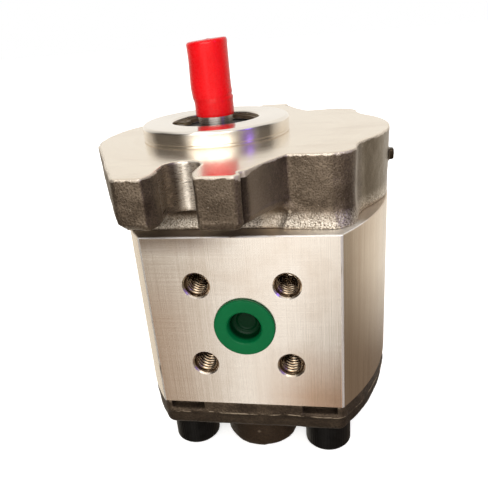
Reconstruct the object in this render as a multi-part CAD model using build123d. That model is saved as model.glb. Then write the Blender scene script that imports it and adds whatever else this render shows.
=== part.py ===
"""External gear pump with a two-bolt slotted flange, built node by node.

Frame: the origin is on the drive shaft axis, in the machined face of the
mounting flange.  +Z runs out along the shaft, +X runs from the drive gear to
the driven gear, and the two ports open towards -Y (inlet) and +Y (outlet).
All lengths are millimetres.
"""
import os
from math import acos, cos, pi, sin, sqrt, tan

from build123d import *

os.makedirs("parts", exist_ok=True)

# ---------------------------------------------------------------- gear train
TEETH = 12                        # teeth on each of the two equal gears
MODULE = 2.25                     # pitch diameter / teeth
PRESSURE_ANGLE = 28.0 * pi / 180  # steep, so twelve teeth are not undercut
GEAR_WIDTH = 28.0                 # face width
PITCH_R = MODULE * TEETH / 2
SPACING = 2 * PITCH_R             # distance between the two gear axes
TIP_R = PITCH_R + MODULE
ROOT_R = PITCH_R - 1.25 * MODULE
BACKLASH = 0.006                  # radians taken off each tooth flank
RUN_GAP = 0.05                    # running clearance, radial and at the faces

# --------------------------------------------------------------------- shaft
SHAFT_R = 6.0                     # seal land
SPLINE_R = 5.5                    # splined end, crest
SPLINE_ROOT_R = 4.8               # splined end, root
SPLINE_TEETH = 9
SPLINE_FROM = 10.0                # where the spline starts above the flange
SHAFT_TOP = 26.0                  # free end of the shaft
JOURNAL_R = 7.5                   # bearing journals
JOURNAL_TOP = -8.0                # journal to seal land shoulder

# ---------------------------------------------------------------------- body
CENTRE_X = SPACING / 2            # middle of the body, between the gears
BODY_HALF_X = 45.0                # bulged sides, at the middle
BODY_HALF_Y = 45.0                # port faces
FACE_HALF = 30.4                  # half width of a flat port face
BODY_TOP = -22.0
BODY_HEIGHT = 60.5
BODY_BOTTOM = BODY_TOP - BODY_HEIGHT
PORT_Z = BODY_TOP - BODY_HEIGHT / 2
BORE_R = TIP_R + RUN_GAP          # gear bores
PORT_R = 8.0
PORT_DEPTH = 10.6                 # the plug's length, then the spigot's seat
SEAT_R = 7.5
SEAT_DEPTH = 20.0                 # then a narrower passage
PASSAGE_R = 6.5
EDGE_BREAK = 0.35                 # chamfer on the outer edges of the body
PORT_BOLT_PITCH = 28.28           # square of four M8 holes, 40 mm circle
PORT_BOLT_R = 4.0
PORT_BOLT_DEPTH = 16.0

# --------------------------------------------------------------- front cover
PILOT_R = 25.4
PILOT_H = 5.0
EAR_Y = 60.3                      # ear ends
EAR_T = 15.0                      # flange plate thickness
SLOT_R = 5.5                      # open mounting slots
SLOT_Y = 47.5                     # centre of the closed slot end
NOSE_R = 40.7                     # flange edge left of the shaft
WALL_Y = 37.5                     # cover wall on top of the body
LOBE_Y = 38.9                     # screw lobes at the right corners
LOBE_X0, LOBE_X1 = 28.6, 48.4
BULGE_R, BULGE_X = 36.0, 23.1     # round right side of the cover
GATE_Z, GATE_T = -9.8, 1.3          # stub of the casting gate on the bulge
GATE_W, GATE_H = 3.0, 3.6
SEAL_BORE_R = 15.0
SEAL_FLOOR = -5.0
RING_Z = 3.0                      # retaining ring groove, mid height

# ---------------------------------------------------------------- rear cover
REAR_T = 10.0
REAR_BOTTOM = BODY_BOTTOM - REAR_T
REAR_BOSS_R, REAR_BOSS_Y, REAR_BOSS_H = 13.5, 26.0, 13.8
PRY_X, PRY_W, PRY_H, PRY_D = 22.7, 11.3, 3.0, 4.0   # pry slots at the seam

# ----------------------------------------------------------------- fasteners
SCREW_X, SCREW_Y = 24.5, 31.5     # from the middle of the body
SCREW_R, SCREW_CLEAR_R = 5.0, 5.3
SCREW_TOP = -7.0                  # tip of the screws in the front cover
HEAD_R, HEAD_H = 8.0, 11.6
WASHER_R, WASHER_T = 8.6, 2.2
DOWEL_R, DOWEL_HALF, DOWEL_X = 2.5, 6.0, 39.0

# ---------------------------------------------------------- inside the bores
BUSH_R = 9.0                      # outside of the plain bushes
BLOCK_R = BORE_R - 0.03
BLOCK_END = 0.04                  # end play of each bearing block
SEAL_PATH_R, SEAL_W, SEAL_D = 19.5, 3.0, 2.0
PRESS_SEAL_R0, PRESS_SEAL_R1 = 11.0, 13.0

GEAR_AXES = (0.0, SPACING)


def centred(x, y):
    """Location given from the middle of the body."""
    return Location((CENTRE_X + x, y, 0))


def corners(x, y):
    """The four mirrored points (+-x, +-y)."""
    return [(sx * x, sy * y) for sx in (-1, 1) for sy in (-1, 1)]


def slab(face, z0, z1):
    """Face drawn on the XY plane, extruded from z0 up to z1."""
    return extrude(Location((0, 0, z0)) * face, z1 - z0)


def rod(x, y, r, z0, z1):
    """Cylinder along Z at (x, y) between two heights."""
    return Location((x, y, (z0 + z1) / 2)) * Cylinder(r, z1 - z0)


def turned(points, axis=Axis.Z, plane=Plane.XZ):
    """Solid of revolution of a closed polygon of (radius, height)."""
    return revolve(plane * make_face(Polyline(*points, close=True)), axis)


def moved(shape, x=0.0, y=0.0, z=0.0):
    """Copy of a shape shifted by x, y, z."""
    return Location((x, y, z)) * shape


def save(name, shape, colour):
    """Name, colour and write one node."""
    solids = shape.solids()
    out = solids[0] if len(solids) == 1 else Compound(children=list(solids))
    out.label = name
    out.color = Color(*colour)
    export_step(out, f"parts/{name}.step")


# ------------------------------------------------------------------ outlines
def body_outline():
    """Barrel section: flat port faces, bulged sides."""
    w, y, x = FACE_HALF, BODY_HALF_Y, BODY_HALF_X
    right = ThreePointArc((w, -y), (x, 0), (w, y))
    left = ThreePointArc((-w, y), (-x, 0), (-w, -y))
    edges = [right, Line((w, y), (-w, y)), left, Line((-w, -y), (w, -y))]
    return centred(0, 0) * make_face(edges)


def oval(r):
    """Stadium round both gear axes."""
    return centred(0, 0) * SlotCenterToCenter(SPACING, 2 * r)


def figure_eight(r):
    """Two overlapping circles, one on each gear axis."""
    return Sketch() + [Pos(x, 0) * Circle(r) for x in GEAR_AXES]


def cover_outline():
    """Part of the front cover that sits on the body."""
    left = body_outline() & Pos(-10, 0) * Rectangle(80, 2 * WALL_Y)
    bulge = Pos(BULGE_X, 0) * Circle(BULGE_R)
    span = LOBE_X1 - LOBE_X0
    lobes = Pos((LOBE_X0 + LOBE_X1) / 2, 0) * Rectangle(span, 2 * LOBE_Y)
    outer = lobes.vertices().sort_by(Axis.X)[-2:]
    lobes = fillet(outer, 7.4)
    return left + bulge + lobes


def flange_outline():
    """Flange plate: round nose, tapered flanks and two ears."""
    flank = [
        (LOBE_X0, -36.8), (19.4, -56.6), (18.6, -EAR_Y), (-15.6, -EAR_Y),
        (-38.0, -14.6), (-38.0, 14.6), (-15.6, EAR_Y), (18.6, EAR_Y),
        (19.4, 56.6), (LOBE_X0, 36.8),
    ]
    plate = make_face(Polyline(*flank, close=True))
    nose = Circle(NOSE_R) & Pos(-30, 0) * Rectangle(30, 2 * 20.0)
    return plate + nose


# --------------------------------------------------------------------- gears
def involute_angle(r):
    """Roll-off angle of the flank between the base circle and radius r."""
    base = PITCH_R * cos(PRESSURE_ANGLE)
    a = acos(min(1.0, base / r))
    return tan(a) - a


def tooth():
    """One tooth centred on +X."""
    base = PITCH_R * cos(PRESSURE_ANGLE)
    inv = tan(PRESSURE_ANGLE) - PRESSURE_ANGLE
    half = pi / (2 * TEETH) + inv - BACKLASH
    steps = 6
    radii = [base + (TIP_R - base) * i / steps for i in range(steps + 1)]
    flank = [(r, half - involute_angle(r)) for r in radii]
    upper = [(r * cos(a), r * sin(a)) for r, a in flank]
    lower = [(x, -y) for x, y in upper]
    foot = ROOT_R - 1.0
    f0 = (foot * cos(half), foot * sin(half))
    f1 = (f0[0], -f0[1])
    edges = [
        Line(f0, upper[0]), Spline(*upper),
        ThreePointArc(upper[-1], (TIP_R, 0), lower[-1]),
        Spline(*reversed(lower)), Line(lower[0], f1), Line(f1, f0),
    ]
    return make_face(edges)


def gear(phase):
    """Gear blank with all teeth, turned by phase degrees."""
    one = tooth()
    face = Sketch() + Circle(ROOT_R)
    for i in range(TEETH):
        face += Rot(0, 0, phase + 360 * i / TEETH) * one
    z0 = PORT_Z - GEAR_WIDTH / 2
    return slab(face, z0, z0 + GEAR_WIDTH)


def spline_end():
    """Splined free end of the drive shaft."""
    face = Sketch() + Circle(SPLINE_ROOT_R)
    tall = SPLINE_R * 2
    for i in range(SPLINE_TEETH):
        key = Rot(0, 0, 360 * i / SPLINE_TEETH) * Rectangle(tall, 1.9)
        face += key & Circle(SPLINE_R) & Rot(0, 0, 360 * i / SPLINE_TEETH) * (
            Pos(SPLINE_R, 0) * Rectangle(tall, 4))
    end = slab(face, SPLINE_FROM - 1, SHAFT_TOP)
    tip = turned([(0, SPLINE_FROM - 2), (SPLINE_R, SPLINE_FROM - 2),
                  (SPLINE_R, SHAFT_TOP - 1), (SPLINE_R - 1, SHAFT_TOP),
                  (0, SHAFT_TOP)])
    return end & tip


JOURNAL_BOTTOM = BODY_BOTTOM + 0.4


def drive_shaft():
    """Drive gear in one piece with its shaft, a tooth towards +X."""
    core = turned([
        (0, JOURNAL_BOTTOM), (JOURNAL_R - 0.8, JOURNAL_BOTTOM),
        (JOURNAL_R, JOURNAL_BOTTOM + 0.8), (JOURNAL_R, JOURNAL_TOP - 0.8),
        (JOURNAL_R - 0.8, JOURNAL_TOP), (SHAFT_R, JOURNAL_TOP),
        (SHAFT_R, SPLINE_FROM - 0.6), (SPLINE_R, SPLINE_FROM),
        (0, SPLINE_FROM)])
    return core + gear(0) + spline_end()


def driven_shaft():
    """Driven gear, a tooth space facing the drive gear."""
    top = BODY_TOP - 0.4
    core = turned([
        (0, JOURNAL_BOTTOM), (JOURNAL_R - 0.8, JOURNAL_BOTTOM),
        (JOURNAL_R, JOURNAL_BOTTOM + 0.8), (JOURNAL_R, top - 0.8),
        (JOURNAL_R - 0.8, top), (0, top)])
    return moved(core + gear(180 / TEETH), SPACING)


# ------------------------------------------------------------------ castings
def screw_holes(r, z0, z1):
    """Four cylinders on the body screw pattern."""
    return [rod(CENTRE_X + x, y, r, z0, z1)
            for x, y in corners(SCREW_X, SCREW_Y)]


def dowel_holes(z, r=DOWEL_R, half=DOWEL_HALF + 0.3):
    """Two cylinders on the dowel pattern round a joint face."""
    return [rod(CENTRE_X + s * DOWEL_X, 0, r, z - half, z + half)
            for s in (-1, 1)]


def front_cover():
    """Cast flange cover with pilot, ears, seal bore and tapped holes."""
    pad = slab(cover_outline(), BODY_TOP, 0)
    plate = slab(flange_outline(), -EAR_T, 0)
    ends = [v for v in plate.edges().filter_by(Axis.Z)
            if abs(v.center().Y) > 55]
    plate = fillet(ends, 1.5)
    low = plate.faces().sort_by(Axis.Z)[0].edges()
    plate = fillet([e for e in low if abs(e.center().Y) > EAR_Y - 0.1], 3.0)
    gate = Pos(BULGE_X + BULGE_R, 0, GATE_Z) * Box(2 * GATE_T, GATE_W, GATE_H)
    cover = pad + plate + gate
    pilot = turned([(0, -1), (PILOT_R, -1), (PILOT_R, PILOT_H - 0.8),
                    (PILOT_R - 0.8, PILOT_H), (0, PILOT_H)])
    cover += pilot
    # shaft seal bore, ring groove and the bore down to the gears
    cover -= turned([
        (0, BODY_TOP - 1), (JOURNAL_R + 0.5, BODY_TOP - 1),
        (JOURNAL_R + 0.5, SEAL_FLOOR), (SEAL_BORE_R, SEAL_FLOOR),
        (SEAL_BORE_R, RING_Z - 0.7), (SEAL_BORE_R + 0.8, RING_Z - 0.7),
        (SEAL_BORE_R + 0.8, RING_Z + 0.7), (SEAL_BORE_R, RING_Z + 0.7),
        (SEAL_BORE_R, PILOT_H - 0.5), (SEAL_BORE_R + 0.6, PILOT_H + 0.1),
        (0, PILOT_H + 0.1)])
    for s in (-1, 1):
        end = rod(0, s * SLOT_Y, SLOT_R, -EAR_T - 8, 1)
        run = Pos(0, s * (SLOT_Y + 10), -EAR_T) * Box(
            2 * SLOT_R, 20, 2 * EAR_T + 2)
        mouth = make_face(Polyline(
            (-SLOT_R, s * (EAR_Y - 4.5)), (SLOT_R, s * (EAR_Y - 4.5)),
            (SLOT_R + 1.6, s * (EAR_Y + 1)), (-SLOT_R - 1.6, s * (EAR_Y + 1)),
            close=True))
        cover -= [end & Pos(0, 0, -EAR_T / 2) * Box(99, 199, EAR_T + 2),
                  run & Pos(0, 0, -EAR_T / 2) * Box(99, 199, EAR_T + 2),
                  slab(mouth, -EAR_T - 1, 1)]
    cover -= screw_holes(SCREW_R, BODY_TOP - 1, SCREW_TOP + 1)
    cover -= dowel_holes(BODY_TOP)
    return cover


def port_cuts(s):
    """Port bore and its four tapped holes on the face at s * Y."""
    face_y = s * BODY_HALF_Y
    along = Location((CENTRE_X, face_y, PORT_Z), (-90 * s, 0, 0))
    cuts = [along * turned([
        (0, -BODY_HALF_Y + 4), (PASSAGE_R, -BODY_HALF_Y + 4),
        (PASSAGE_R, -SEAT_DEPTH), (SEAT_R, -SEAT_DEPTH),
        (SEAT_R, -PORT_DEPTH), (PORT_R, -PORT_DEPTH), (PORT_R, -0.6),
        (PORT_R + 0.6, 0), (PORT_R + 0.6, 1), (0, 1)])]
    hole = turned([
        (0, -PORT_BOLT_DEPTH - 2), (PORT_BOLT_R, -PORT_BOLT_DEPTH),
        (PORT_BOLT_R, -0.5), (PORT_BOLT_R + 0.5, 0), (PORT_BOLT_R + 0.5, 1),
        (0, 1)])
    half = PORT_BOLT_PITCH / 2
    return cuts + [along * (Pos(x, y) * hole) for x, y in corners(half, half)]


def pump_body():
    """Gear housing: barrel section with gear bores and two ports."""
    body = slab(body_outline(), BODY_BOTTOM, BODY_TOP)
    body = chamfer(body.edges(), EDGE_BREAK)
    body -= slab(figure_eight(BORE_R), BODY_BOTTOM - 1, BODY_TOP + 1)
    ring = oval(SEAL_PATH_R + SEAL_W / 2) - oval(SEAL_PATH_R - SEAL_W / 2)
    body -= slab(ring, BODY_TOP - SEAL_D, BODY_TOP + 1)
    body -= slab(ring, BODY_BOTTOM - 1, BODY_BOTTOM + SEAL_D)
    body -= screw_holes(SCREW_CLEAR_R, BODY_BOTTOM - 1, BODY_TOP + 1)
    body -= dowel_holes(BODY_TOP) + dowel_holes(BODY_BOTTOM)
    for s in (-1, 1):
        body -= port_cuts(s)
    return body


def rear_cover():
    """Cast end plate with two blind bosses and pry slots at the seam."""
    plate = slab(body_outline(), REAR_BOTTOM, BODY_BOTTOM)
    plate = fillet(plate.edges().filter_by(Axis.Z), 4.0)
    plate = fillet(plate.faces().sort_by(Axis.Z)[0].edges(), 1.5)
    for s in (-1, 1):
        boss = rod(CENTRE_X, s * REAR_BOSS_Y, REAR_BOSS_R,
                   REAR_BOTTOM - REAR_BOSS_H, REAR_BOTTOM + 2)
        boss = fillet(boss.faces().sort_by(Axis.Z)[0].edges(), 3.0)
        plate += boss
        for x in (-PRY_X, PRY_X):
            plate -= Pos(CENTRE_X + x, s * BODY_HALF_Y,
                         BODY_BOTTOM - PRY_H / 2) * Box(
                PRY_W, 2 * PRY_D, PRY_H)
    plate -= screw_holes(SCREW_CLEAR_R, REAR_BOTTOM - 1, BODY_BOTTOM + 1)
    plate -= dowel_holes(BODY_BOTTOM)
    return plate


# ------------------------------------------------------ bearings and sealing
def bearing_block(front):
    """Figure-eight bearing block with its pressure seal groove."""
    gear_face = PORT_Z + (1 if front else -1) * (GEAR_WIDTH / 2 + BLOCK_END)
    cover_face = BODY_TOP - BLOCK_END if front else BODY_BOTTOM + BLOCK_END
    z0, z1 = sorted((gear_face, cover_face))
    block = slab(figure_eight(BLOCK_R), z0, z1)
    block -= [rod(x, 0, BUSH_R, z0 - 1, z1 + 1) for x in GEAR_AXES]
    groove = pressure_ring(0.0)
    g0 = cover_face - SEAL_D if front else cover_face - 1
    block -= slab(groove, g0, g0 + SEAL_D + 1)
    # relief pockets beside the mesh, towards both ports
    p0 = gear_face - 0.5 if front else gear_face - 1.0
    for s in (-1, 1):
        block -= Pos(CENTRE_X, s * 6.2, p0 + 0.75) * Box(6.0, 4.0, 1.5)
    return block


def pressure_ring(gap):
    """Two rings joined by a bridge; gap narrows the section."""
    r0, r1 = PRESS_SEAL_R0 + gap, PRESS_SEAL_R1 - gap
    rings = [Pos(x, 0) * (Circle(r1) - Circle(r0)) for x in GEAR_AXES]
    bridge = Pos(CENTRE_X, 0) * Rectangle(2.0, 2.0 - 2 * gap)
    return Sketch() + rings + bridge


def pressure_seal(front):
    """Elastomer seal in the cover side of a bearing block."""
    if front:
        z0 = BODY_TOP - BLOCK_END - SEAL_D
        return slab(pressure_ring(0.1), z0, BODY_TOP)
    return slab(pressure_ring(0.1), BODY_BOTTOM,
                BODY_BOTTOM + BLOCK_END + SEAL_D)


def body_seal(front):
    """Oval joint seal in the body face."""
    w = SEAL_W / 2 - 0.15
    ring = oval(SEAL_PATH_R + w) - oval(SEAL_PATH_R - w)
    z0 = BODY_TOP - SEAL_D if front else BODY_BOTTOM
    return slab(ring, z0, z0 + SEAL_D)


def bush(x, front):
    """Plain bush pressed into a bearing block."""
    gear_face = PORT_Z + (1 if front else -1) * (GEAR_WIDTH / 2 + BLOCK_END)
    cover_face = BODY_TOP - BLOCK_END if front else BODY_BOTTOM + BLOCK_END
    z0, z1 = sorted((gear_face, cover_face))
    inner = JOURNAL_R + RUN_GAP
    section = [(inner, z0 + 0.7), (inner + 0.4, z0 + 0.3), (BUSH_R, z0 + 0.3),
               (BUSH_R, z1 - 0.3), (inner + 0.4, z1 - 0.3), (inner, z1 - 0.7)]
    return moved(turned(section), x)


def shaft_seal():
    """Rotary lip seal: case, web, lip and spring groove."""
    z = SEAL_FLOOR
    lip = SHAFT_R + RUN_GAP
    return turned([
        (SEAL_BORE_R, z), (SEAL_BORE_R, z + 7), (lip + 1.4, z + 7),
        (lip + 0.6, z + 6.4), (lip + 0.2, z + 5.6), (lip + 0.2, z + 5.0),
        (lip + 1.1, z + 4.6), (lip + 0.6, z + 3.2), (lip, z + 2.0),
        (lip + 0.9, z + 0.8), (lip + 2.6, z + 0.8), (lip + 2.6, z + 2.2),
        (lip + 2.2, z + 4.9), (SEAL_BORE_R - 1.8, z + 4.9),
        (SEAL_BORE_R - 1.8, z)])


def garter_spring():
    """Spring ring that loads the lip."""
    lip = SHAFT_R + RUN_GAP
    return turned([
        (lip + 2.62, SEAL_FLOOR + 0.9), (lip + 3.6, SEAL_FLOOR + 0.9),
        (lip + 3.6, SEAL_FLOOR + 1.9), (lip + 2.62, SEAL_FLOOR + 1.9)])


def retaining_ring():
    """Internal circlip with two lugs at its gap."""
    ring = Circle(SEAL_BORE_R + 0.7) - Circle(SEAL_BORE_R - 1.5)
    ring -= Pos(0, 15) * Rectangle(5.0, 9.0)
    for s in (-1, 1):
        lug = Pos(s * 4.4, 12.6) * (Circle(2.3) - Circle(0.9))
        ring += lug
    return slab(Rot(0, 0, 90) * ring, RING_Z - 0.6, RING_Z + 0.6)


# --------------------------------------------------- fasteners, caps, plugs
def cap_screws():
    """Four socket head cap screws from the rear."""
    under = REAR_BOTTOM - WASHER_T
    one = turned([
        (0, under - HEAD_H), (HEAD_R - 0.8, under - HEAD_H),
        (HEAD_R, under - HEAD_H + 0.8), (HEAD_R, under),
        (SCREW_R, under), (SCREW_R, SCREW_TOP - 1),
        (SCREW_R - 1, SCREW_TOP), (0, SCREW_TOP)])
    socket = RegularPolygon(4.0 / cos(pi / 6), 6)
    one -= slab(socket, under - HEAD_H - 1, under - HEAD_H + 5)
    return [moved(one, CENTRE_X + x, y) for x, y in corners(SCREW_X, SCREW_Y)]


def lock_washers():
    """Four split washers under the screw heads."""
    flat = Circle(WASHER_R) - Circle(SCREW_R + 0.2)
    flat -= Pos(WASHER_R - 1.5, 0) * Rectangle(6.0, 0.8)
    one = slab(flat, REAR_BOTTOM - WASHER_T, REAR_BOTTOM)
    return [moved(one, CENTRE_X + x, y) for x, y in corners(SCREW_X, SCREW_Y)]


def dowels(z):
    """Two dowel pins across a joint face."""
    return dowel_holes(z, DOWEL_R, DOWEL_HALF)


CAP_FROM, CAP_NECK, CAP_TOP = 6.1, 10.4, 30.6
CAP_LEAN = 0.8                    # the loose upper sleeve sits off axis


def shaft_cap():
    """Push-on protector: snug collar, loose leaning sleeve, closed end."""
    def stack(r_low, r_up, z_from, z_to):
        """Collar, shoulder and sleeve of one surface."""
        low = rod(0, 0, r_low, z_from, CAP_NECK)
        ends = [Location((0, 0, CAP_NECK)) * Circle(r_low),
                Location((-CAP_LEAN, 0, CAP_NECK + 2)) * Circle(r_up)]
        return low + loft(ends) + rod(-CAP_LEAN, 0, r_up, CAP_NECK + 2, z_to)
    outer = stack(6.7, 6.95, CAP_FROM, CAP_TOP)
    outer = fillet(outer.faces().sort_by(Axis.Z)[-1].edges(), 1.0)
    return outer - stack(SHAFT_R + RUN_GAP, 6.35, CAP_FROM - 1, CAP_TOP - 1.2)


PLUG_FLANGE_R, PLUG_FLANGE_T, PLUG_CUP_R = 9.85, 1.5, 5.4


def port_plug(s):
    """Soft flanged plug with a funnel cup, on the face at s * Y."""
    t = PLUG_FLANGE_T
    section = [
        (0, -10.0), (0, -4.4), (3.6, -4.4), (PLUG_CUP_R, t - 0.3),
        (PLUG_CUP_R + 0.4, t), (PLUG_FLANGE_R - 0.4, t),
        (PLUG_FLANGE_R, t - 0.4), (PLUG_FLANGE_R, 0.02), (7.95, 0.02),
        (7.95, -1.2), (7.6, -10.0)]
    at = Location((CENTRE_X, s * BODY_HALF_Y, PORT_Z), (-90 * s, 0, 0))
    return at * turned(section)


# -------------------------------------------------------------------- output
ALUMINIUM = (0.82, 0.79, 0.74)
CAST = (0.62, 0.58, 0.53)
IRON = (0.24, 0.20, 0.17)
STEEL = (0.66, 0.67, 0.68)
BLACK = (0.05, 0.05, 0.05)
RUBBER = (0.04, 0.04, 0.04)
BRONZE = (0.70, 0.52, 0.30)
RED = (0.85, 0.05, 0.07)
GREEN = (0.02, 0.36, 0.20)


def group(solids):
    """Several solids as one node."""
    return Compound(children=list(solids))


def main():
    """Write every node."""
    save("front_cover", front_cover(), CAST)
    save("pump_body", pump_body(), ALUMINIUM)
    save("rear_cover", rear_cover(), IRON)
    save("drive_shaft", drive_shaft(), STEEL)
    save("driven_shaft", driven_shaft(), STEEL)
    for side, front in (("front", True), ("rear", False)):
        save(f"{side}_bearing_block", bearing_block(front), ALUMINIUM)
        save(f"{side}_pressure_seal", pressure_seal(front), RUBBER)
        save(f"{side}_body_seal", body_seal(front), RUBBER)
        save(f"{side}_drive_bush", bush(GEAR_AXES[0], front), BRONZE)
        save(f"{side}_driven_bush", bush(GEAR_AXES[1], front), BRONZE)
        joint = BODY_TOP if front else BODY_BOTTOM
        save(f"{side}_dowels", group(dowels(joint)), STEEL)
    save("shaft_seal", shaft_seal(), RUBBER)
    save("garter_spring", garter_spring(), STEEL)
    save("retaining_ring", retaining_ring(), BLACK)
    save("cap_screws", group(cap_screws()), BLACK)
    save("lock_washers", group(lock_washers()), BLACK)
    save("shaft_cap", shaft_cap(), RED)
    save("inlet_plug", port_plug(-1), GREEN)
    save("outlet_plug", port_plug(1), GREEN)


main()
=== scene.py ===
"""Looks of the hydraulic gear pump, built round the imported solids.

Everything is in metres in the frame of the solids: the origin is on the drive
shaft axis in the flange face, +Z runs out along the shaft, +X towards the
driven gear, and the inlet port faces -Y.  Meshes are worked out in
millimetres and scaled when they are stored.
"""
import logging
import math
from dataclasses import dataclass, field
from enum import Enum
from typing import Callable, Iterable, Optional, Sequence

import bpy
import numpy as np
from mathutils import Matrix, Vector


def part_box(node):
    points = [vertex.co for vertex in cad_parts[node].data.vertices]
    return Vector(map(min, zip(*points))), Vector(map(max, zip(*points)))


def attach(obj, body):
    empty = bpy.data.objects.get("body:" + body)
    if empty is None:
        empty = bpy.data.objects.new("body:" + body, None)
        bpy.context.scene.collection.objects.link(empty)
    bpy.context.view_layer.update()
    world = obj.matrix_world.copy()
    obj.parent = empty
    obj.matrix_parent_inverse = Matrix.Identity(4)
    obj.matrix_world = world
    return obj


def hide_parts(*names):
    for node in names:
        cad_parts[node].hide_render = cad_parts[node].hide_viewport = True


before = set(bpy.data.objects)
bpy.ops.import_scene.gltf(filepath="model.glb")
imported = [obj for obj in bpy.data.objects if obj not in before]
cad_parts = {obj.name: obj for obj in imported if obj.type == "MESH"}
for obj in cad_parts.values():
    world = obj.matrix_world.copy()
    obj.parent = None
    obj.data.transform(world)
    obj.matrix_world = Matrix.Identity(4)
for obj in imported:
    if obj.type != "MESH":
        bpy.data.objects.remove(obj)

LOG = logging.getLogger("pump")
MM = 0.001
Array = np.ndarray
Colour = tuple[float, float, float]
Span = tuple[float, float]
Bands = tuple[tuple[float, float, float, Colour], ...]
Mesh = tuple[Array, list[list[int]]]
Socket = bpy.types.NodeSocket
Node = bpy.types.Node
Piece = bpy.types.Object


# ------------------------------------------------------------ dimensions
@dataclass(frozen=True)
class PumpSizes:
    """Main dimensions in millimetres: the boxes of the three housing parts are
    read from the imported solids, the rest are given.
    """

    body_low: Vector
    body_high: Vector
    cover_low: Vector
    cover_high: Vector
    rear_low: Vector
    rear_high: Vector
    spacing: float = 27.0
    face_half: float = 30.4
    pilot_r: float = 25.4
    pilot_h: float = 5.0
    ear_y: float = 60.3
    ear_t: float = 15.0
    slot_r: float = 5.5
    slot_y: float = 47.5
    nose_r: float = 40.7
    wall_y: float = 37.5
    lobe_y: float = 38.9
    lobe_x0: float = 28.6
    lobe_x1: float = 48.4
    bulge_r: float = 36.0
    bulge_x: float = 23.1
    screw_x: float = 24.5
    screw_y: float = 31.5
    port_pitch: float = 28.28
    boss_r: float = 13.5
    boss_y: float = 26.0
    pry_x: float = 22.7

    @staticmethod
    def corners(node: str) -> tuple[Vector, Vector]:
        """Corners of a node in millimetres."""
        low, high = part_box(node)
        return Vector(low) / MM, Vector(high) / MM

    @classmethod
    def read(cls) -> "PumpSizes":
        """Read the boxes of the three housing parts.

        Returns:
            The sizes with the boxes filled in.
        """
        body, cover, rear = (
            cls.corners(n) for n in ("pump_body", "front_cover", "rear_cover"))
        return cls(*body, *cover, *rear)

    @property
    def centre_x(self) -> float:
        """Middle of the body between the gears."""
        return self.spacing / 2

    @property
    def body_top(self) -> float:
        """Joint between the flange cover and the body."""
        return self.body_high.z

    @property
    def body_bottom(self) -> float:
        """Joint between the body and the rear cover."""
        return self.body_low.z

    @property
    def rear_bottom(self) -> float:
        """Underside of the rear cover's plate."""
        return self.body_bottom - 10.0

    @property
    def barrel(self) -> tuple[float, float]:
        """Half length of the body and radius of its curved ends."""
        reach = self.body_high.x - self.centre_x
        sag, half = reach - self.face_half, self.body_high.y
        return reach, (half * half + sag * sag) / (2 * sag)

    @property
    def floor_z(self) -> float:
        """Level on which the screw heads stand."""
        return self.rear_bottom - 13.8

    @property
    def port_z(self) -> float:
        """Height of the port axes."""
        return (self.body_top + self.body_bottom) / 2


class Body(Enum):
    """The moving groups of the pump."""

    HOUSING = "housing"
    DRIVE = "drive"
    DRIVEN = "driven"
    CAP = "cap"
    PLUG_IN = "plug_in"
    PLUG_OUT = "plug_out"


# ---------------------------------------------------------- 2-D outlines
def arc(cx: float, cy: float, r: float, a0: float, a1: float,
        steps: int = 24) -> list[Span]:
    """Points on an arc.

    Args:
        cx, cy: centre.
        r: radius.
        a0, a1: first and last angle in degrees.
        steps: number of chords.

    Returns:
        The points, ends included.
    """
    angles = np.radians(np.linspace(a0, a1, steps + 1))
    return [(cx + r * math.cos(a), cy + r * math.sin(a)) for a in angles]


def corner(start: Array, p: Array, end: Array, steps: int) -> list[Span]:
    """Points on a curve from start to end that bends towards p."""
    curve = ((1 - t) ** 2 * start + 2 * t * (1 - t) * p + t * t * end
             for t in np.linspace(0, 1, steps + 1))
    return [(float(x), float(y)) for x, y in curve]


def rounded(points: Sequence[tuple[float, float, float]],
            steps: int = 6) -> list[Span]:
    """Closed polygon with its corners rounded.

    Args:
        points: (x, y, radius) of each corner.
        steps: chords per corner.

    Returns:
        The outline's points.
    """
    out: list[Span] = []
    count = len(points)
    for i, (x, y, r) in enumerate(points):
        if r <= 0:
            out.append((x, y))
            continue
        p = np.array((x, y))
        a = np.array(points[i - 1][:2]) - p
        b = np.array(points[(i + 1) % count][:2]) - p
        a, b = a / np.hypot(*a), b / np.hypot(*b)
        half = math.acos(float(np.clip(a @ b, -1, 1))) / 2
        reach = r / math.tan(half)
        start, end = p + a * reach, p + b * reach
        out += corner(start, p, end, steps)
    return out


def outline_distance(x: Array, y: Array, outline: Sequence[Span]) -> Array:
    """Signed distance to a closed outline, negative inside.

    Args:
        x, y: arrays of one shape.
        outline: the points of the outline.

    Returns:
        Distances of that shape.
    """
    best = np.full(x.shape, 1e9, np.float32)
    inside = np.zeros(x.shape, bool)
    pts = list(outline)
    for (ax, ay), (bx, by) in zip(pts, pts[1:] + pts[:1]):
        ex, ey = bx - ax, by - ay
        length2 = ex * ex + ey * ey
        if length2 < 1e-12:
            continue
        wx, wy = x - ax, y - ay
        t = np.clip((wx * ex + wy * ey) / length2, 0, 1)
        best = np.minimum(best, (wx - ex * t) ** 2 + (wy - ey * t) ** 2)
        if ay != by:
            cross = (ay > y) != (by > y)
            inside ^= cross & (x < ex * (y - ay) / ey + ax)
    return np.where(inside, -1.0, 1.0).astype(np.float32) * np.sqrt(best)


# ------------------------------------------------------- distance fields
def soft_min(a: Array, b: Array, k: float) -> Array:
    """Union of two fields with a fillet of size k."""
    h = np.clip(0.5 + 0.5 * (b - a) / k, 0, 1)
    return b + (a - b) * h - k * h * (1 - h)


def soft_max(a: Array, b: Array, k: float) -> Array:
    """Intersection of two fields with an edge rounding of size k."""
    return -soft_min(-a, -b, k)


def round_max(a: Array, b: Array, r: float | Array) -> Array:
    """Intersection whose corner has radius r."""
    a, b = a + r, b + r
    return (np.hypot(np.maximum(a, 0), np.maximum(b, 0))
            + np.minimum(np.maximum(a, b), 0) - r)


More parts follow.
